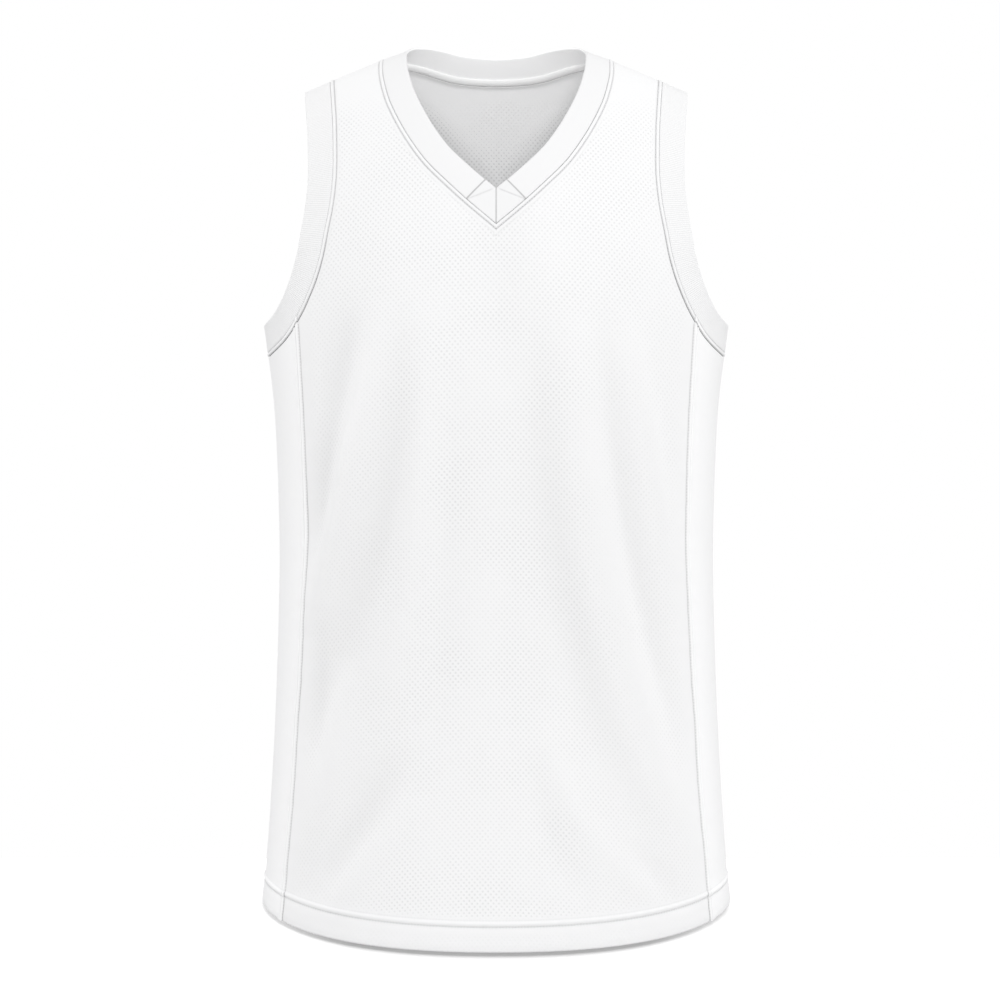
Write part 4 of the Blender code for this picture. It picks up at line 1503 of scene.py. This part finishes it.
@dataclass
class SidePanel:
    """Wraps under the arm from one side seam to the other, hem to armhole."""

    seams: Seams
    side: Side
    thickness: float = 0.0011
    columns: int = 44
    rows: int = 170
    groove: float = 3.0
    deep_line: float = 1.5
    # Painted shade that darkens the panel towards the side line
    outer_painted_shade: float = 1.25

    def build(self, name: str, finish: bpy.types.Material) -> bpy.types.Object:
        """Makes the panel.

        Args:
            name: The piece's name.
            finish: Its material.

        Returns:
            The new object.
        """
        seams, form = self.seams, self.seams.form
        last = SIDE_STRIP[-1][0]
        across = [(0.0, *line) for line in SIDE_STRIP]
        across += [(i / self.columns, lerp(last, -last, i / self.columns), 0.0, 0.0)
                   for i in range(1, self.columns)]
        across += [(1.0, -distance, rise, crease)
                   for distance, rise, crease in reversed(SIDE_STRIP)]
        top = []
        for distance, rise, crease in reversed(STRIP):
            s = np.linspace(*UNDERARM_SPAN, FINE)
            x, q = seams.beside(seams.arm, s, -distance)
            face, z, angle = form.around(x, q)
            top.append((np.where(face < 0, math.pi - angle, angle), z,
                        rise * self.groove if rise < 0 else rise, crease * self.deep_line))
        kinds = [("hem", above, rise, crease) for above, rise, crease in HEM]
        kinds += [("body", i / self.rows, 0.0, 0.0) for i in range(1, self.rows)]
        kinds += [("top", k, line[2], line[3]) for k, line in enumerate(top)]
        share, distance, column_rise, column_crease = table_columns(across)
        x, q, rises, creases = [], [], [], []
        for kind, amount, row_rise, row_crease in kinds:
            z = np.full(len(across), seams.hem_side)
            for _ in range(SETTLE):
                front = seams.side_angle(z, 1, 0.0)
                back = math.pi - seams.side_angle(z, -1, 0.0)
                front_step = (seams.side_angle(z, 1, NUDGE) - front) / NUDGE
                back_step = (seams.side_angle(z, -1, NUDGE) - (math.pi - back)) / NUDGE
                angle = lerp(front, back, share) + distance * lerp(front_step, back_step, share)
                foot = seams.hem(form.half_width(z) * np.sin(angle))
                if kind == "hem":
                    z = foot + amount
                elif kind == "top":
                    z = np.interp(angle, top[amount][0], top[amount][1])
                else:
                    z = lerp(foot + HEM[-1][0], np.interp(angle, top[0][0], top[0][1]), amount)
            row_x, row_q = form.ringed(angle, z, 1)
            x.append(row_x)
            q.append(row_q)
            rises.append(np.where(np.abs(row_rise) > np.abs(column_rise), row_rise, column_rise))
            creases.append(np.maximum(column_crease, row_crease))
        x, q = np.array(x), np.array(q)
        wide, long = run_of(form.bare(x, q)), form.height(x, q)
        edge = (wide < last) | (wide > wide[:, -1:] - last)
        seam = np.where(edge, long, wide)
        start = lerp(x[:, :1], x[:, -1:], share)
        # Painted shade: the panel is darker the further out it lies towards the side line
        painted_shade = self.outer_painted_shade * (x - start) / (form.half_width(long) - start)
        points, normals = form.half(x, q, self.side)
        flat = np.stack([wide * self.side.value, long], -1)
        return Cloth([Patch(points, normals, np.array(rises), self.thickness, flat, 0.0,
                            np.array(creases), seam, painted_shade)]).build(name, finish)


# Line across a folded band: share of the width, rise, thickness as a share of the wall
BAND = (
    (0.000, -0.0003, 0.85, 0.30), (0.016, 0.0001, 1.00, 0.10), (0.045, 0.0002, 1.00, 0.00),
    (0.150, 0.0001, 1.00, 0.00), (0.300, 0.0000, 1.00, 0.00), (0.450, 0.0000, 1.00, 0.00),
    (0.600, 0.0000, 1.00, 0.00), (0.750, 0.0000, 1.00, 0.00), (0.860, 0.0001, 1.00, 0.00),
    (0.920, 0.0002, 1.00, 0.00), (0.955, 0.0001, 1.00, 0.00), (0.978, -0.0002, 0.90, 0.00),
    (0.992, -0.0006, 0.75, 0.00), (1.000, -0.0010, 0.60, 0.00),
)


@dataclass
class Band:
    """A folded band that goes on from the body beside its seam."""

    seams: Seams
    wall: float = 0.0020
    room: float = 0.0001

    def distance(self, share: float, width: Array) -> Array:
        """Distance from the seam line of a share of the band's width."""
        return lerp(self.seams.gap / 2 + self.room, width, share)

    def patch(self, line: Line, width: Callable[[Array], Array], curl: Callable[[Array], Array],
              rows: list[Array], ends: Array | float = 0.0) -> tuple[Array, ...]:
        """Grid of a band.

        Args:
            line: The seam line.
            width: The band's width at each s.
            curl: How strongly it bends inwards at each s.
            rows: The values of s on each of its lines.
            ends: Crease at each step along the band, such as at its sewn ends.

        Returns:
            Points, normals, cloth coordinates, rise, thickness, crease and distance run.
        """
        share, rise, thick, crease = table_columns(BAND)
        parts = [self.seams.band(line, s, self.distance(part, width(s)), curl(s))
                 for part, s in zip(share, rows)]
        points, normals = stacked(parts)
        flat, run = laid(points, share * float(np.mean(width(rows[0]))))
        crease = np.maximum(crease, np.broadcast_to(ends, len(run))[:, None])
        return points, normals, flat, rise, thick * self.wall, crease, run

    def halves(self, sides: Sequence[Side], points: Array, normals: Array, flat: Array,
               *numbers: Array | float) -> Cloth:
        """The cloth of a band on some sides, from the grid of its left half.

        Args:
            sides: One side, or both where the band crosses the centre line.
            points: The grid's points.
            normals: Its outward normals.
            flat: Its cloth coordinates.
            numbers: Its rise, thickness, crease and distance run.

        Returns:
            The cloth.
        """
        rise, thick, crease, seam = numbers
        return Cloth([Patch(points * flipped(side), normals * flipped(side), rise, thick,
                            flat * (1, side.value) if len(sides) > 1 else flat, 0.0, crease, seam)
                      for side in sides])


def laid(points: Array, across: Array) -> tuple[Array, Array]:
    """Cloth coordinates of a band's grid, and the distance run along it."""
    run = run_of(points[:, 0])[:, None]
    return np.stack(np.broadcast_arrays(across, run), -1), run


def squared(points: Array, normals: Array, row: int, x: float) -> Array:
    """Puts one end of a grid straight up and down at x, and gives the normals that fit.

    Args:
        points: The grid's points, which are changed.
        normals: Its normals, likewise.
        row: The row at that end.
        x: Its distance out.

    Returns:
        The normals at length one.
    """
    points[row, :, 0] = x
    normals[row, :, 0] = 0.0
    return unit(normals)


def edged(start: float, end: float, count: int, inset: float) -> Array:
    """Even steps with two close ones at either end, for a sewn edge."""
    inner = np.linspace(start + 2 * inset, end - 2 * inset, count + 1)
    return np.concatenate([[start, start + inset], inner, [end - inset, end]])


@dataclass
class Neckband(Band):
    """Runs from the V insert round the back of the neck to the V insert."""

    insert_seam: float = 0.0245
    front_steps: int = 90
    back_steps: int = 60
    close_steps: tuple[float, float] = (0.0004, 0.0010)
    end_crease: tuple[float, float] = (1.0, 0.7)

    def insert_end(self) -> float:
        """The s at which the insert meets the neckband."""
        s = np.linspace(*V_SPAN, FINE)
        return crossing(self.seams.neck(s)[0], self.insert_seam, s)

    def per_metre(self) -> float:
        """Steps of s for one metre beside the V insert.

        Returns:
            The steps.
        """
        end = self.insert_end()
        points, _ = self.seams.form.place(*self.seams.neck(np.array([end, end + NUDGE])))
        return NUDGE / float(np.linalg.norm(points[1] - points[0]))

    def build(self, name: str, finish: bpy.types.Material) -> bpy.types.Object:
        """Makes the neckband.

        Args:
            name: The piece's name.
            finish: Its material.

        Returns:
            The new object.
        """
        seams = self.seams
        start = self.insert_end() + self.per_metre() * seams.gap
        front = seams.evenly(seams.neck, start, 1.0, self.front_steps)
        close = start + self.per_metre() * np.array(self.close_steps)
        s = np.concatenate([front[:1], close, front[1:],
                            seams.evenly(seams.neck, 1.0, 2.0, self.back_steps)[1:]])
        ends = np.zeros(len(s))
        ends[:2] = self.end_crease
        points, normals, *others = self.patch(seams.neck, seams.neck_width, seams.neck_curl,
                                              [s] * len(BAND), ends)
        normals = squared(points, normals, -1, 0.0)
        return self.halves(tuple(Side), points, normals, *others).build(name, finish)


@dataclass
class VInsert(Neckband):
    """One mitred half of the insert that closes the V, with a folded flap on its top."""

    side: Side = Side.LEFT
    steps: int = 44
    lines: int = 40
    line_span: tuple[float, float] = (0.06, 0.90)
    inset: float = 0.0005
    end_crease: tuple[float, float] = (1.0, 0.6)
    flap_fall: float = 0.0085
    flap_reach: float = 0.0215
    flap_rise: float = 0.0005
    flap_edge: float = 0.0009
    flap_shade: float = 0.35
    flap_start: tuple[float, float] = (0.0, 0.004)
    line_start: tuple[float, float] = (0.002, 0.005)
    crease_width: float = 0.0005

    def insert_start(self, share: float) -> float:
        """The s at which a line of the insert leaves the middle seam.

        Args:
            share: The line's share of the width.

        Returns:
            The s.
        """
        seams = self.seams
        s = np.linspace(*V_SPAN, FINE)
        points, _ = seams.band(seams.neck, s, self.distance(share, seams.neck_width(s)),
                               seams.neck_curl(s))
        return crossing(points[:, 0], seams.gap / 2, s)

    def build(self, name: str, finish: bpy.types.Material) -> bpy.types.Object:
        """Makes one half of the insert.

        Args:
            name: The piece's name.
            finish: Its material.

        Returns:
            The new object.
        """
        seams = self.seams
        end = self.insert_end()
        inset = self.per_metre() * self.inset
        table = table_columns(BAND)
        inner = np.linspace(*self.line_span, self.lines)
        share = np.unique(np.concatenate([table[0], inner]))
        rise, thick, crease = (np.interp(share, table[0], table[k]) for k in (1, 2, 3))
        parts = []
        for part in share:
            s = edged(self.insert_start(part), end, self.steps, inset)
            parts.append(seams.band(seams.neck, s, self.distance(part, seams.neck_width(s)),
                                    seams.neck_curl(s)))
        points, normals = stacked(parts)
        normals = squared(points, normals, 0, seams.gap / 2)
        sewn = np.zeros((len(points), 1))
        sewn[[0, -1]], sewn[[1, -2]] = self.end_crease
        peak = points[0, -1, 2]
        fall = peak - self.flap_fall * points[..., 0] / self.flap_reach
        away = points[..., 2] - fall
        flap = self.flap_rise * ease(-self.flap_edge / 2, self.flap_edge / 2, away)
        flap = flap * ease(*self.flap_start, points[..., 0])
        # Painted shade along the folded edge of the flap
        lined = self.flap_shade * np.exp(-((away / self.crease_width) ** 2))
        lined = lined * ease(*self.line_start, points[..., 0])
        flat, run = laid(points, share * float(seams.neck_width(0.0)))
        crease = np.maximum(np.maximum(crease, sewn), lined)
        return self.halves([self.side], points, normals, flat, rise + flap, thick * self.wall,
                           crease, run).build(name, finish)


@dataclass
class ArmholeBand(Band):
    """A closed ribbed loop round an armhole."""

    side: Side = Side.LEFT
    width: float = 0.0240
    curl: float = 0.5
    steps: int = 260

    def build(self, name: str, finish: bpy.types.Material) -> bpy.types.Object:
        """Makes the loop.

        Args:
            name: The piece's name.
            finish: Its material.

        Returns:
            The new object.
        """
        seams = self.seams
        s = seams.evenly(seams.arm, 0.0, 2.0, self.steps)
        points, normals, *others = self.patch(
            seams.arm, lambda s: np.full(np.shape(s), self.width),
            lambda s: np.full(np.shape(s), self.curl), [s] * len(BAND))
        points[-1] = points[0]
        normals[-1] = normals[0]
        return self.halves([self.side], points, normals, *others).build(name, finish)


# Line across the neck tape: distance from the seam, thickness, crease
TAPE = (
    (-0.0045, 0.0003, 1.00), (-0.0043, 0.0010, 0.40), (-0.0039, 0.0012, 0.00),
    (-0.0035, 0.0010, 0.20), (-0.0031, 0.0008, 0.90), (-0.0027, 0.0012, 0.15),
    (-0.0020, 0.0018, 0.00), (-0.0010, 0.0021, 0.00), (0.0003, 0.0021, 0.00),
    (0.0014, 0.0019, 0.00), (0.0022, 0.0016, 0.00), (0.0028, 0.0012, 0.10), (0.0032, 0.0009, 0.00),
    (0.0035, 0.0003, 0.15),
)


@dataclass
class NeckTape(Band):
    """A narrow rolled tape over the back neck seam, inside."""

    steps: int = 120
    start: float = 1.06

    def build(self, name: str, finish: bpy.types.Material) -> bpy.types.Object:
        """Makes the tape.

        Args:
            name: The piece's name.
            finish: Its material.

        Returns:
            The new object.
        """
        seams = self.seams
        s = seams.evenly(seams.neck, self.start, 2.0, self.steps)
        distance, thick, crease = table_columns(TAPE)
        parts = [seams.band(seams.neck, s, np.full(len(s), away), seams.neck_curl(s))
                 for away in distance]
        points, normals = stacked(parts)
        normals = squared(points, normals, -1, 0.0)
        points = points - normals * (self.wall + seams.gap + self.room)
        flat, run = laid(points, distance)
        return self.halves(tuple(Side), points, normals, flat, 0.0, thick, crease,
                           run).build(name, finish)


# ---- Stitching ----


def nothing_selected() -> None:
    """Deselects every object."""
    if bpy.context.mode != "OBJECT":
        bpy.ops.object.mode_set(mode="OBJECT")
    bpy.ops.object.select_all(action="DESELECT")


@dataclass
class Stitching:
    """Rows of short stitches, one shape copied along each sewn line."""

    radius: float = 0.00024
    length: float = 0.0019
    pitch: float = 0.0026
    arch: float = 0.00010
    taper: float = 0.55
    sides: int = 6
    corners: Array = field(init=False)
    faces: list[list[int]] = field(init=False)

    def __post_init__(self) -> None:
        """Shapes the one stitch that the rows repeat: along Z, arched towards +Y."""
        nothing_selected()
        bpy.ops.mesh.primitive_cylinder_add(vertices=self.sides, radius=self.radius,
                                            depth=self.length, end_fill_type="NGON")
        stitch = bpy.context.active_object
        bpy.ops.object.mode_set(mode="EDIT")
        bpy.ops.mesh.select_all(action="SELECT")
        bpy.ops.mesh.bisect(plane_co=(0, 0, 0), plane_no=(0, 0, 1))
        bpy.ops.transform.translate(value=(0, self.arch, 0))
        bpy.ops.object.mode_set(mode="OBJECT")
        for vertex in stitch.data.vertices:
            if abs(vertex.co.z) > self.length / 4:
                vertex.co.x *= self.taper
                vertex.co.y = vertex.co.y * self.taper - self.arch
        mesh = stitch.data
        self.corners = np.array([vertex.co[:] for vertex in mesh.vertices])
        self.faces = [list(face.vertices) for face in mesh.polygons]
        bpy.data.objects.remove(stitch, do_unlink=True)
        bpy.data.meshes.remove(mesh)

    def frames(self, points: Array, normals: Array) -> tuple[Array, ...]:
        """Places and directions of the stitches along a row of points.

        Args:
            points: The row's points.
            normals: Its outward normals.

        Returns:
            Middles, then unit vectors sideways, up and along.
        """
        run = run_of(points)
        count = max(2, int(run[-1] / self.pitch))
        at = (np.arange(count) + 0.5) * run[-1] / count
        middle, ahead, behind, normal = (
            np.stack([np.interp(at + step, run, values[:, k]) for k in range(3)], -1)
            for values, step in ((points, 0.0), (points, self.length / 2),
                                 (points, -self.length / 2), (normals, 0.0)))
        along = unit(ahead - behind)
        sideways = unit(np.cross(unit(normal), along))
        return middle, sideways, np.cross(along, sideways), along

    def build(self, name: str, rows: list[tuple[Array, Array]],
              finish: bpy.types.Material) -> bpy.types.Object:
        """Makes one piece of all the stitches along some rows.

        Args:
            name: The piece's name.
            rows: Points and outward normals of each row.
            finish: The thread's material.

        Returns:
            The new object.
        """
        corners, faces, start = [], [], 0
        for points, normals in rows:
            middle, sideways, up, along = self.frames(points, normals)
            shape = self.corners
            placed = (middle[:, None] + sideways[:, None] * shape[None, :, :1]
                      + up[:, None] * shape[None, :, 1:2] + along[:, None] * shape[None, :, 2:])
            corners.append(placed.reshape(-1, 3))
            for i in range(len(middle)):
                offset = start + i * len(shape)
                faces += [[corner + offset for corner in face] for face in self.faces]
            start += placed.shape[0] * placed.shape[1]
        return smooth_piece(name, np.concatenate(corners), faces, finish)


@dataclass
class SewnRows:
    """Where every row of stitches runs."""

    seams: Seams
    stitches: Stitching
    finish: bpy.types.Material
    strip: float = 0.0032
    side_strip: float = 0.0040
    hem_above: float = 0.0214
    lift: float = 0.00005
    tape_rows: tuple[float, float] = (-0.0031, 0.0028)
    tape_start: float = 1.07
    inner: float = 0.0032
    foot_room: float = 0.001

    def row(self, x: Array, q: Array, side: Side = Side.LEFT) -> tuple[Array, Array]:
        """Points and normals of a row on the cloth, given for the left half."""
        points, normals = self.seams.form.half(x, q, side)
        return points + normals * self.lift, normals

    def edge(self, line: Line, start: float, side: Side) -> tuple[Array, Array]:
        """The row on a turned edge of one half."""
        s = self.seams.evenly(line, start, 2.0, FINE, -self.strip)
        return self.row(*self.seams.beside(line, s, -self.strip), side)

    def neck(self) -> bpy.types.Object:
        """The row round the neck, on the body's turned edge.

        Returns:
            The stitches.
        """
        line, s = self.seams.neck, np.linspace(*V_SPAN, FINE)
        start = crossing(self.seams.beside(line, s, -self.strip)[0], 0, s)
        rows = [self.edge(line, start, side) for side in Side]
        return self.stitches.build("neck_stitches", rows, self.finish)

    def arms(self, side: Side, name: str) -> bpy.types.Object:
        """The row round one armhole."""
        return self.stitches.build(name, [self.edge(self.seams.arm, 0.0, side)], self.finish)

    def sides(self, side: Side, name: str) -> bpy.types.Object:
        """The rows along the two seams of one side panel.

        Args:
            side: The panel's side.
            name: The piece's name.

        Returns:
            The stitches.
        """
        seams, form, rows = self.seams, self.seams.form, []
        for face in Face:
            x, q = seams.beside(seams.arm, np.linspace(1.0, 1.0 - 0.5 * face.value, FINE),
                                -self.strip)
            seam_x, _ = seams.side(form.height(x, q), face.value, self.side_strip)
            top = float(np.interp(0.0, seam_x - x, form.height(x, q)))
            z = np.linspace(seams.side_foot(face.value) + self.foot_room, top, FINE)
            rows.append(self.row(*seams.side(z, face.value, self.side_strip), side))
        return self.stitches.build(name, rows, self.finish)

    def hem(self) -> bpy.types.Object:
        """The row round the hem.

        Returns:
            The stitches.
        """
        seams, form = self.seams, self.seams.form
        turn = np.linspace(0, 2 * math.pi, 4 * FINE)
        face = np.where(np.cos(turn) >= 0, 1, -1)
        z = np.full(turn.shape, seams.hem_side)
        for _ in range(SETTLE):
            z = seams.hem(form.half_width(z) * np.sin(turn)) + self.hem_above
        x = form.half_width(z) * np.sin(turn)
        row = self.row(x, form.root_drop(x, z, face))
        return self.stitches.build("hem_stitches", [row], self.finish)

    def tape(self) -> bpy.types.Object:
        """The two rows along the neck tape, inside.

        Returns:
            The stitches.
        """
        seams, rows = self.seams, []
        s = seams.evenly(seams.neck, self.tape_start, 2.0, FINE)
        for side, distance in itertools.product(Side, self.tape_rows):
            points, normals = seams.band(seams.neck, s, np.full(len(s), distance),
                                         seams.neck_curl(s))
            flip = flipped(side)
            rows.append(((points - normals * self.inner) * flip, -normals * flip))
        return self.stitches.build("tape_stitches", rows, self.finish)


# ---- Studio ----


# Lamps: name, place, size, power
LAMPS = (("key", (0.7, -4.1, 2.1), 1.4, 82.0), ("left_rim", (-2.3, 0.9, 0.1), 1.0, 13.0),
         ("right_rim", (2.3, 0.9, 0.1), 1.0, 10.0))


@dataclass
class Studio:
    """A pale floor, soft light from all round and the camera."""

    seams: Seams
    gap: float = 0.0040
    dip_width: float = 0.2026
    dip_steps: int = 81
    floor_tone: float = 0.72
    floor_roughness: float = 0.9
    glow: float = 0.34
    side_painted_light: float = 0.60
    floor_size: float = 1.2
    shade_width: float = 0.2026
    shade_depth: float = 0.165
    shade_reach: tuple[float, float] = (1.0, 1.22)
    shade_sides: tuple[float, float] = (0.55, 1.05)
    depth: float = 0.20
    ambient: float = 0.66
    above: float = 0.12
    above_span: tuple[float, float] = (0.1, 0.9)
    sides: float = 0.03
    side_span: tuple[float, float] = (0.3, 0.95)
    aim: tuple[float, float, float] = (0.0, 0.0, -0.35)
    centre_x: float = 0.0032
    centre_z: float = -0.366
    distance: float = 3.0
    tilt: float = 5.0
    lens: float = 125.58
    sensor: float = 36.0
    far: float = 100.0

    def floor(self) -> None:
        """A wide pale floor that dips along the middle, as the hem does."""
        reach = self.floor_size / 2
        inner = np.linspace(-self.dip_width, self.dip_width, self.dip_steps)
        x = np.concatenate([[-reach], inner, [reach]])
        z = self.seams.hem(np.clip(x, inner[0], inner[-1])) - self.gap
        y = np.array([-reach, self.depth])
        corners = np.stack([np.tile(x, 2), np.repeat(y, len(x)), np.tile(z, 2)], -1)
        count = len(x)
        faces = [[i, i + 1, i + 1 + count, i + count] for i in range(count - 1)]
        material, sockets, wires = new_material("studio_floor", {
            "Base Color": (*(self.floor_tone,) * 3, 1.0), "Roughness": self.floor_roughness,
            "Specular IOR Level": 0.0, "Emission Color": WHITE})
        # For the camera the floor glows: fully white away from the hem, which paints out shadows
        # there; less near the hem, so its contact shadow shows; and more towards the hem's sides,
        # which paints light into that shadow
        x, y, _ = wires.place()
        across = wires.math("DIVIDE", x, self.shade_width)
        deep = wires.math("DIVIDE", y, self.shade_depth)
        away = wires.math("SQRT", wires.plus(across, across, wires.times(deep, deep)))
        near = wires.smooth(wires.math("ABSOLUTE", across), *self.shade_sides, self.glow,
                            self.side_painted_light)
        far = wires.smooth(away, *self.shade_reach)
        glow = wires.plus(far, wires.math("SUBTRACT", 1.0, near), near)
        seen = wires.node("ShaderNodeLightPath").outputs["Is Camera Ray"]
        wires.feed(sockets["Emission Strength"], wires.times(seen, glow))
        smooth_piece("studio_floor", corners, faces, material)

    def world(self) -> None:
        """Soft light, stronger from above and from the sides, and a white background."""
        world = bpy.data.worlds.new("studio")
        bpy.context.scene.world = world
        world.use_nodes = True
        wires = Wiring(world.node_tree)
        x, _, z = wires.place("Generated")
        above = wires.smooth(z, *self.above_span, 0.0, self.above)
        left, right = (wires.smooth(x, *(turn * edge for edge in self.side_span), 0.0, self.sides)
                       for turn in (1, -1))
        total = wires.math("ADD", wires.math("ADD", left, right), above)
        total = wires.math("ADD", total, self.ambient)
        seen = wires.node("ShaderNodeLightPath").outputs["Is Camera Ray"]
        strength = wires.plus(seen, wires.math("SUBTRACT", 1.0, total), total)
        background = world.node_tree.nodes["Background"]
        background.inputs["Color"].default_value = WHITE
        wires.feed(background.inputs["Strength"], strength)

    def lamp(self, name: str, place: tuple[float, float, float], size: float,
             power: float) -> None:
        """A large soft lamp that faces the garment.

        Args:
            name: Its name.
            place: Where it stands.
            size: Its diameter.
            power: Its power, in watts.
        """
        data = bpy.data.lights.new(name, "AREA")
        data.shape = "DISK"
        data.size = size
        data.energy = power
        lamp = in_scene(name, data)
        lamp.location = place
        aim = np.array(self.aim) - np.array(place)
        lamp.rotation_euler = (math.atan2(math.hypot(aim[0], aim[1]), -aim[2]), 0.0,
                               math.atan2(-aim[0], aim[1]))

    def camera(self) -> None:
        """The camera, level with the garment and looking slightly down."""
        tilt = math.radians(self.tilt)
        data = bpy.data.cameras.new("camera")
        data.lens = self.lens
        data.sensor_width = self.sensor
        data.clip_end = self.far
        camera = in_scene("camera", data)
        camera.location = (self.centre_x, -self.distance * math.cos(tilt),
                           self.centre_z + self.distance * math.sin(tilt))
        camera.rotation_euler = (math.pi / 2 - tilt, 0.0, 0.0)
        bpy.context.scene.camera = camera

    def build(self) -> None:
        """Sets up the studio."""
        self.floor()
        self.world()
        for lamp in LAMPS:
            self.lamp(*lamp)
        self.camera()
        view = bpy.context.scene.view_settings
        view.view_transform = "Standard"
        view.look = "None"


@dataclass(frozen=True)
class SheetCut:
    """The flat cut of a piece."""

    width: float
    length: float
    area: float


@dataclass
class Jersey:
    """The whole garment."""

    seams: Seams = field(default_factory=lambda: Seams(Form()))
    pieces: list[bpy.types.Object] = field(default_factory=list)

    def trim(self, piece: bpy.types.Object) -> None:
        """Hangs a piece on the body and keeps it with the others.

        Args:
            piece: The piece.
        """
        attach(piece, "root")
        self.pieces.append(piece)
        LOG.info("%s: %d faces", piece.name, len(piece.data.polygons))

    def dress(self, piece: bpy.types.Object, node: str) -> None:
        """Hangs a sheet of cloth on the body and hides the solid that it replaces.

        Args:
            piece: The sheet.
            node: The solid that it replaces.
        """
        self.trim(piece)
        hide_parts(node)

    def build(self) -> None:
        """Makes every piece and its finish."""
        effects = Effects()
        mesh = MeshKnit("white_mesh_knit", (0.915, 0.915, 0.920)).material(effects)
        smooth = Knit("white_smooth_knit", (0.985, 0.985, 0.990), sheen=0.0).material(effects)
        band = Knit("white_band_knit", (0.880, 0.880, 0.885), glow=0.20).material(effects)
        insert = Knit("white_insert_knit", (0.875, 0.875, 0.880)).material(effects)
        rib = Ribbed("white_rib_knit", (0.935, 0.935, 0.940)).material(effects)
        tape = Ribbed("white_neck_tape", (0.92, 0.92, 0.92), glow=0.16, pitch=0.0009,
                      groove_shade=0.05, line_height=0.4, slant=1.0).material(effects)
        thread = ThreadFinish().material()
        seams = self.seams
        front = BodyPanel(seams, Face.FRONT, 34)
        self.dress(front.build("front_cloth", mesh), "front_panel")
        back = BodyPanel(seams, Face.BACK, 68, fade=(-0.030, -0.012))
        self.dress(back.build("back_cloth", mesh), "back_panel")
        for side in Side:
            hand = side.name.lower()
            self.dress(SidePanel(seams, side).build(f"side_cloth_{hand}", smooth),
                       f"side_panel_{hand}")
        self.dress(Neckband(seams).build("neck_band_cloth", band), "neckband")
        for side in Side:
            hand = side.name.lower()
            self.dress(VInsert(seams, side=side).build(f"insert_cloth_{hand}", insert),
                       f"v_insert_{hand}")
        for side in Side:
            hand = side.name.lower()
            self.dress(ArmholeBand(seams, side=side).build(f"arm_band_cloth_{hand}", rib),
                       f"armhole_band_{hand}")
        self.dress(NeckTape(seams).build("neck_tape_cloth", tape), "neck_tape")
        rows = SewnRows(seams, Stitching(), thread)
        self.trim(rows.neck())
        for side in Side:
            self.trim(rows.arms(side, f"arm_stitches_{side.name.lower()}"))
        for side in Side:
            self.trim(rows.sides(side, f"side_stitches_{side.name.lower()}"))
        self.trim(rows.hem())
        self.trim(rows.tape())


def main() -> None:
    """Builds the garment and the studio."""
    logging.basicConfig(level=logging.INFO, format="%(name)s %(message)s")
    jersey = Jersey()
    jersey.build()
    Studio(jersey.seams).build()
    LOG.info("%d pieces", len(jersey.pieces))


if __name__ == "__main__":
    main()
